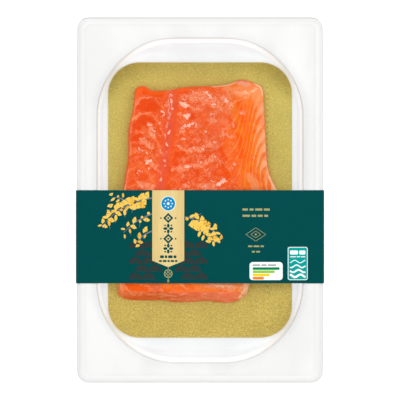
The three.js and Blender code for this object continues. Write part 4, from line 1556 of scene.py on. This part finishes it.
def ring_and_tassel(bm):
    """A small ring with a lattice in it, a cord and a tassel, below the ribbon's point."""
    ink(arc_band(bm, place_at(RIBBON_MIDDLE, RING_Y, MIDDLE_INK_Z), 2.1, 2.6, math.tau, 24), GILT)
    for turn in (math.pi / 4, -math.pi / 4):
        for shift in (-0.75, 0.75):
            across = Vector((math.cos(turn + math.pi / 2), math.sin(turn + math.pi / 2))) * shift
            x, y = RIBBON_MIDDLE + across.x, RING_Y + across.y
            ink(plate(bm, place_at(x, y, MIDDLE_INK_Z, turn, (3.9, 0.38))), GILT)
    for y, length in ((-41.9, 1.6), (-48.0, 1.4)):
        ink(plate(bm, place_at(RIBBON_MIDDLE, y, MIDDLE_INK_Z, 0, (0.4, length))), GILT)
    for spread in (-0.4, 0.0, 0.4):
        where = place_at(RIBBON_MIDDLE + spread, -49.4, MIDDLE_INK_Z, -spread * 0.4, (0.3, 1.6))
        ink(plate(bm, where), GILT)


class SALMON_OT_make_ribbon(PackStep, bpy.types.Operator):
    """Gold ribbon printed down the sleeve, with a round spot, ornaments, a ring and a tassel"""

    bl_idname = "salmon_pack.make_ribbon"
    bl_label = "Ribbon"

    def execute(self, context):
        look = self.look(context).sleeve
        inks = (
            ribbon_gold(look),
            plain_ink("Cream ink", look.cream),
            plain_ink("Green ink", look.green),
            plain_ink("Blue ink", look.blue),
            plain_ink("Gilt ink", look.gilt),
        )
        bm = bmesh.new()
        ribbon_body(bm)
        ribbon_marks(bm)
        round_spot(bm)
        ring_and_tassel(bm)
        print_piece("ribbon_print", bm, inks)
        return {"FINISHED"}


def scallop(bm, x, y, radius):
    """One scale of the old wave pattern: two half rings over a half disc."""
    for inner, outer in SCALLOP_RINGS:
        arc_band(bm, place_at(x, y, UNDER_INK_Z), radius * inner, radius * outer, math.pi)


class SALMON_OT_make_scallops(PackStep, bpy.types.Operator):
    """Rows of dark wave scallops printed low on the sleeve, which run under the ribbon"""

    bl_idname = "salmon_pack.make_scallops"
    bl_label = "Scallops"

    def execute(self, context):
        look = self.look(context).sleeve
        bm = bmesh.new()
        for row in range(SCALLOP_ROWS):
            y = SCALLOP_LOW_Y + row * SCALLOP_RADIUS * SCALLOP_RISE
            shift = SCALLOP_RADIUS if row % 2 else 0.0
            for side in (-1, 1):
                for column in (1, 2):
                    away = (2 * column + 1) * SCALLOP_RADIUS - shift
                    scallop(bm, RIBBON_MIDDLE + side * away, y, SCALLOP_RADIUS)
        print_piece("scallop_print", bm, (plain_ink("Dark grey ink", look.grey, 0.42, 0.2),))
        return {"FINISHED"}


# Inks of the sprigs' piece
YELLOW, AMBER, TWIG = range(3)


def curved_twig(start, heading, length, bend, steps=14):
    """Points of a twig that leaves in a heading and bends evenly."""
    points = [Vector(start)]
    turn = heading
    for _ in range(steps):
        points.append(points[-1] + Vector((math.cos(turn), math.sin(turn))) * length / steps)
        turn += bend / steps
    return points


def on_sleeve(x, y, spare):
    inside = SLEEVE_LOW.y + spare < y < SLEEVE_HIGH.y - spare
    return inside and not RIBBON_LEFT - spare < x < RIBBON_RIGHT + spare


def free_level(leaves, x, y, reach):
    """The lowest level of ink that no overlapping leaf has taken, or None."""
    taken = {level for at_x, at_y, size, level in leaves if math.hypot(at_x - x, at_y - y) < size + reach}
    return next((level for level in range(LEAF_LEVELS) if level not in taken), None)


def sprig(bm, chance, grown, start, heading, length, bend, count, size):
    """A grey twig with fan leaves, almond leaves, buds and bare side twigs along it."""
    points = curved_twig(start, heading, length, bend)
    widths = [0.95 - 0.7 * i / (len(points) - 1) for i in range(len(points))]
    ink(ribbon_line(bm, points, widths, LOW_INK_Z), TWIG)
    for number in range(count):
        share = (number + 0.6) / count
        spot = share * (len(points) - 1)
        low = min(int(spot), len(points) - 2)
        place = points[low].lerp(points[low + 1], spot - low)
        ahead = points[low + 1] - points[low]
        side = 1 if number % 2 else -1
        turn = math.atan2(ahead.y, ahead.x) + side * chance.uniform(0.5, 1.2)
        pointing = Vector((math.cos(turn), math.sin(turn)))
        tip = place + pointing * size * 1.7
        if number % 4 == 3 and on_sleeve(tip.x, tip.y, 0.3):
            ink(ribbon_line(bm, [place, tip], (0.45, 0.2), SIDE_TWIG_Z), TWIG)
        foot = place + pointing * chance.uniform(0.6, 1.5)
        scale = size * chance.uniform(0.8, 1.1) * (1.1 - 0.35 * share)
        kind = chance.random()
        shade = YELLOW if chance.random() < 0.72 else AMBER
        spread = chance.uniform(1.6, 2.2)
        middle = foot + pointing * scale / 2
        level = free_level(grown, middle.x, middle.y, scale * 0.55)
        if level is None or not on_sleeve(middle.x, middle.y, scale * 0.6):
            continue
        grown.append((middle.x, middle.y, scale * 0.55, level))
        z = LEAF_Z + LEAF_STEP * level
        if kind < 0.66:
            ink(fan(bm, foot.x, foot.y, z, turn, scale, spread), shade)
        elif kind < 0.9:
            ink(leaf(bm, foot.x, foot.y, z, turn, scale * 1.15, scale * 0.55), shade)
        else:
            ink(disc(bm, place_at(foot.x, foot.y, z), scale * 0.3, 10), shade)


# Each sprig's foot, heading, length and bend, how many leaves it may have, and their size
SPRIGS = (
    ((-29.4, 1.2), 3.3, 35.0, 0.75, 23, 3.7),
    ((-38.0, 0.4), 3.9, 20.0, -0.9, 10, 3.1),
    ((-46.0, -0.4), 2.5, 8.0, 0.9, 5, 2.8),
    ((-29.4, -8.5), 3.5, 21.0, 0.5, 10, 3.0),
    ((-29.4, -19.0), 3.5, 13.0, 0.7, 6, 2.7),
    ((-9.3, -10.5), -0.1, 21.0, -1.1, 15, 3.7),
    ((-3.5, -11.4), -1.1, 20.0, 0.6, 12, 3.3),
    ((4.0, -16.0), -0.3, 12.0, -1.3, 7, 2.8),
)


class SALMON_OT_make_sprigs(PackStep, bpy.types.Operator):
    """Yellow fan leaves on grey twigs, printed on both sides of the ribbon"""

    bl_idname = "salmon_pack.make_sprigs"
    bl_label = "Sprigs"

    def execute(self, context):
        look = self.look(context).sleeve
        chance = random.Random(look.seed)
        bm = bmesh.new()
        grown = []
        for shape in SPRIGS:
            sprig(bm, chance, grown, *shape)
        inks = (
            plain_ink("Yellow ink", look.yellow),
            plain_ink("Amber ink", look.amber),
            plain_ink("Twig ink", look.twig),
        )
        print_piece("sprig_print", bm, inks)
        return {"FINISHED"}


# The two labels, each with its left, right, low and high side, and the figure above them
WHITE_LABEL = (30.2, 50.4, -48.8, -37.8)
TEAL_LABEL = (53.5, 65.6, -48.8, -28.6)
FIGURE_MIDDLE = (34.0, -21.0)

# Inks of the labels' piece
FINE_GILT, WHITE, LEAF_GREEN, LIME, SUN_YELLOW, ORANGE, TEAL, PALE_GREY = range(8)


def bar_row(bm, left, y, height, widths, number, gap=0.9, z=LOW_INK_Z):
    """A row of plain bars with rounded ends, side by side."""
    for width in widths:
        ink(plate(bm, place_at(left + width / 2, y, z, 0, (width, height)), height * 0.3), number)
        left += width + gap


def lozenge_figure(bm):
    """Two lozenges in fine lines, one in the other, round a small disc."""
    middle = Vector(FIGURE_MIDDLE)
    for size in (1.0, 0.5):
        across, up = Vector((6.1 * size, 0)), Vector((0, 4.1 * size))
        corners = [middle - across, middle + up, middle + across, middle - up]
        for i in range(4):
            ink(ribbon_line(bm, [corners[i - 1], corners[i]], (0.26, 0.26), LOW_INK_Z), FINE_GILT)
    ink(disc(bm, place_at(*middle, LOW_INK_Z), 0.6, 16), FINE_GILT)


def white_label(bm):
    """A rounded white label with bars of differing lengths."""
    left, right, low, high = WHITE_LABEL
    where = place_at((left + right) / 2, (low + high) / 2, LOW_INK_Z, 0, (right - left, high - low))
    ink(plate(bm, where, 1.9), WHITE)
    bar_row(bm, left + 1.9, high - 1.9, 0.9, (4.6, 3.2, 5.0), PALE_GREY, 0.7, MIDDLE_INK_Z)
    bars = ((16.4, LEAF_GREEN), (13.4, LIME), (10.2, SUN_YELLOW), (6.8, ORANGE))
    for row, (length, number) in enumerate(bars):
        y = high - 4.0 - row * 1.95
        bar_row(bm, left + 1.9, y, 1.6, (length,), number, 0.0, MIDDLE_INK_Z)


def teal_label(bm):
    """An upright teal label with a pale border, two rows of bars and pale waves."""
    left, right, low, high = TEAL_LABEL
    x, y = (left + right) / 2, (low + high) / 2
    width, height = right - left, high - low
    ink(plate(bm, place_at(x, y, LOW_INK_Z, 0, (width, height)), 1.2), WHITE)
    ink(plate(bm, place_at(x, y, MIDDLE_INK_Z, 0, (width - 0.8, height - 0.8)), 0.9), TEAL)
    bar_row(bm, x - 4.7, high - 3.4, 2.5, (4.9, 3.8), WHITE, 0.7, HIGH_INK_Z)
    bar_row(bm, x - 4.5, high - 6.0, 0.55, (3.4, 2.0, 2.6), WHITE, 0.5, HIGH_INK_Z)
    for row in range(4):
        foot = low + 2.6 + row * 2.9
        crests = np.linspace(-1, 1, 17)
        points = [Vector((x + 4.7 * t, foot + 0.8 * math.sin(t * 4.4 + row * 1.1))) for t in crests]
        widths = [1.25 - 0.25 * row] * len(points)
        ink(ribbon_line(bm, points, widths, HIGH_INK_Z), WHITE)


class SALMON_OT_make_labels(PackStep, bpy.types.Operator):
    """Small print on the sleeve's right half: rows of bars, a lozenge figure and two labels"""

    bl_idname = "salmon_pack.make_labels"
    bl_label = "Labels"

    def execute(self, context):
        look = self.look(context).sleeve
        inks = (
            plain_ink("Fine gilt ink", look.gilt),
            plain_ink("White ink", linear(246, 248, 247)),
            plain_ink("Leaf green ink", linear(0, 132, 72)),
            plain_ink("Lime ink", linear(140, 198, 62)),
            plain_ink("Sun yellow ink", linear(250, 206, 30)),
            plain_ink("Orange ink", linear(236, 130, 24)),
            plain_ink("Teal ink", look.teal),
            plain_ink("Pale grey ink", linear(150, 150, 150)),
        )
        bm = bmesh.new()
        bar_row(bm, 25.8, -5.8, 1.3, (3.4, 2.6, 4.4, 3.6), FINE_GILT)
        bar_row(bm, 25.9, -9.6, 1.3, (4.6, 2.9, 3.0, 2.4), FINE_GILT)
        lozenge_figure(bm)
        bar_row(bm, 29.3, -28.2, 1.0, (2.6, 3.6, 2.0), FINE_GILT, 0.7)
        bar_row(bm, 31.6, -31.5, 1.0, (1.9, 2.4), FINE_GILT, 0.7)
        white_label(bm)
        teal_label(bm)
        print_piece("label_print", bm, inks)
        return {"FINISHED"}


# The stage, in metres
FLOOR_RADIUS = 4
FLOOR_DROP = 0.05 * MM
OVERHEAD_SIZE = 2.4
SIDE_SIZE = 0.9
GLINT_SIZE = 0.05


def softbox(name, place, size, power):
    """An area lamp that looks at the middle of the pack, and hands back its object."""
    lamp = bpy.data.lights.new(name, "AREA")
    lamp.shape = "SQUARE"
    lamp.size = size
    lamp.energy = power
    piece = add_object(name, lamp)
    piece.location = place
    piece.rotation_euler = (-Vector(place)).to_track_quat("-Z", "Y").to_euler()
    return piece


def studio_world(ambient):
    world = bpy.data.worlds.new("Studio")
    world.use_nodes = True
    paint = Paint(world.node_tree)
    background = world.node_tree.nodes["Background"]
    paint.feed(background.inputs["Color"], (1, 1, 1))
    path = paint.add("ShaderNodeLightPath").outputs
    dimmed = paint.math("MULTIPLY", path["Is Glossy Ray"], -0.7 * ambient)
    lit = paint.scaled(path["Is Camera Ray"], 1 - ambient, ambient)
    paint.feed(background.inputs["Strength"], paint.math("ADD", lit, dimmed))
    bpy.context.scene.world = world


def white_floor():
    """A round floor just below the pack, which shows as plain white to the camera."""
    bm = bmesh.new()
    bmesh.ops.create_circle(bm, cap_ends=True, segments=96, radius=FLOOR_RADIUS)
    mesh = bpy.data.meshes.new("floor")
    bm.to_mesh(mesh)
    bm.free()
    mesh.transform(Matrix.Translation((0, 0, -FLOOR_DROP)))
    material, paint, shader = new_material("Floor")
    seen = paint.add("ShaderNodeLightPath").outputs["Is Camera Ray"]
    finish_shader(
        paint,
        shader,
        Base_Color=(0.45, 0.45, 0.45),
        Roughness=0.9,
        Emission_Color=(1, 1, 1),
        Emission_Strength=paint.scaled(seen, 0.85, 0.05),
    )
    mesh.materials.append(material)
    floor = add_object("floor", mesh)


def softboxes(look):
    """A broad lamp above, one on each side and two small ones for glints."""
    overhead = softbox("Overhead softbox", (0.0, 0.0, 2.4), OVERHEAD_SIZE, look.overhead_light)
    overhead.visible_glossy = False
    for name, place, share in (
        ("Left softbox", (-1.0, 0.1, 0.95), 1.0),
        ("Right softbox", (1.0, 0.1, 0.95), 1.0),
        ("Top softbox", (0.0, 1.15, 0.95), 1.0),
        ("Bottom softbox", (0.0, -1.15, 0.95), 1.15),
    ):
        softbox(name, place, SIDE_SIZE, look.side_light * share)
    for name, place in (("Upper glint", (-0.25, 0.75, 1.1)), ("Side glint", (0.6, 0.25, 1.1))):
        softbox(name, place, GLINT_SIZE, look.glint_light)


def camera_above(look):
    """A camera straight above the pack, as far from the flange as the settings say."""
    lens = bpy.data.cameras.new("Camera above")
    lens.sensor_width = 36
    lens.lens = lens.sensor_width * look.camera_height / look.view_width
    lens.clip_end = 100
    camera = add_object("Camera above", lens)
    camera.location = (0, 0, TRAY_HIGH.z * MM + look.camera_height)
    bpy.context.scene.camera = camera


class SALMON_OT_make_stage(PackStep, bpy.types.Operator):
    """White floor, soft lamps all round, small lamps for glints, and the camera straight above"""

    bl_idname = "salmon_pack.make_stage"
    bl_label = "Stage"

    def execute(self, context):
        look = self.look(context).stage
        white_floor()
        studio_world(look.ambient)
        softboxes(look)
        camera_above(look)
        context.scene.view_settings.view_transform = "Standard"
        return {"FINISHED"}


STEPS = (
    SALMON_OT_make_stage,
    SALMON_OT_make_tray,
    SALMON_OT_make_card,
    SALMON_OT_make_loin,
    SALMON_OT_make_film,
    SALMON_OT_make_sleeve,
    SALMON_OT_make_ribbon,
    SALMON_OT_make_scallops,
    SALMON_OT_make_sprigs,
    SALMON_OT_make_labels,
)


class SALMON_PT_pack(bpy.types.Panel):
    """Lists the pieces of the pack and the settings that change them"""

    bl_idname = "SALMON_PT_pack"
    bl_label = "Smoked salmon pack"
    bl_space_type = "VIEW_3D"
    bl_region_type = "UI"
    bl_category = "Salmon pack"

    def draw(self, context):
        for step in STEPS:
            self.layout.operator(step.bl_idname)
        for name in ("tray", "card", "loin", "sleeve", "stage"):
            part = getattr(context.scene.salmon_pack, name)
            column = self.layout.column(heading=name.capitalize())
            for setting in part.__annotations__:
                column.prop(part, setting)


LOOKS = (TrayLook, CardLook, LoinLook, SleeveLook, StageLook, PackLook)


def register():
    for part in (*LOOKS, *STEPS, SALMON_PT_pack):
        bpy.utils.register_class(part)
    bpy.types.Scene.salmon_pack = PointerProperty(type=PackLook)


def unregister():
    del bpy.types.Scene.salmon_pack
    for part in reversed((*LOOKS, *STEPS, SALMON_PT_pack)):
        bpy.utils.unregister_class(part)


def main():
    register()
    for step in STEPS:
        group, name = step.bl_idname.split(".")
        getattr(getattr(bpy.ops, group), name)()


if __name__ == "__main__":
    main()
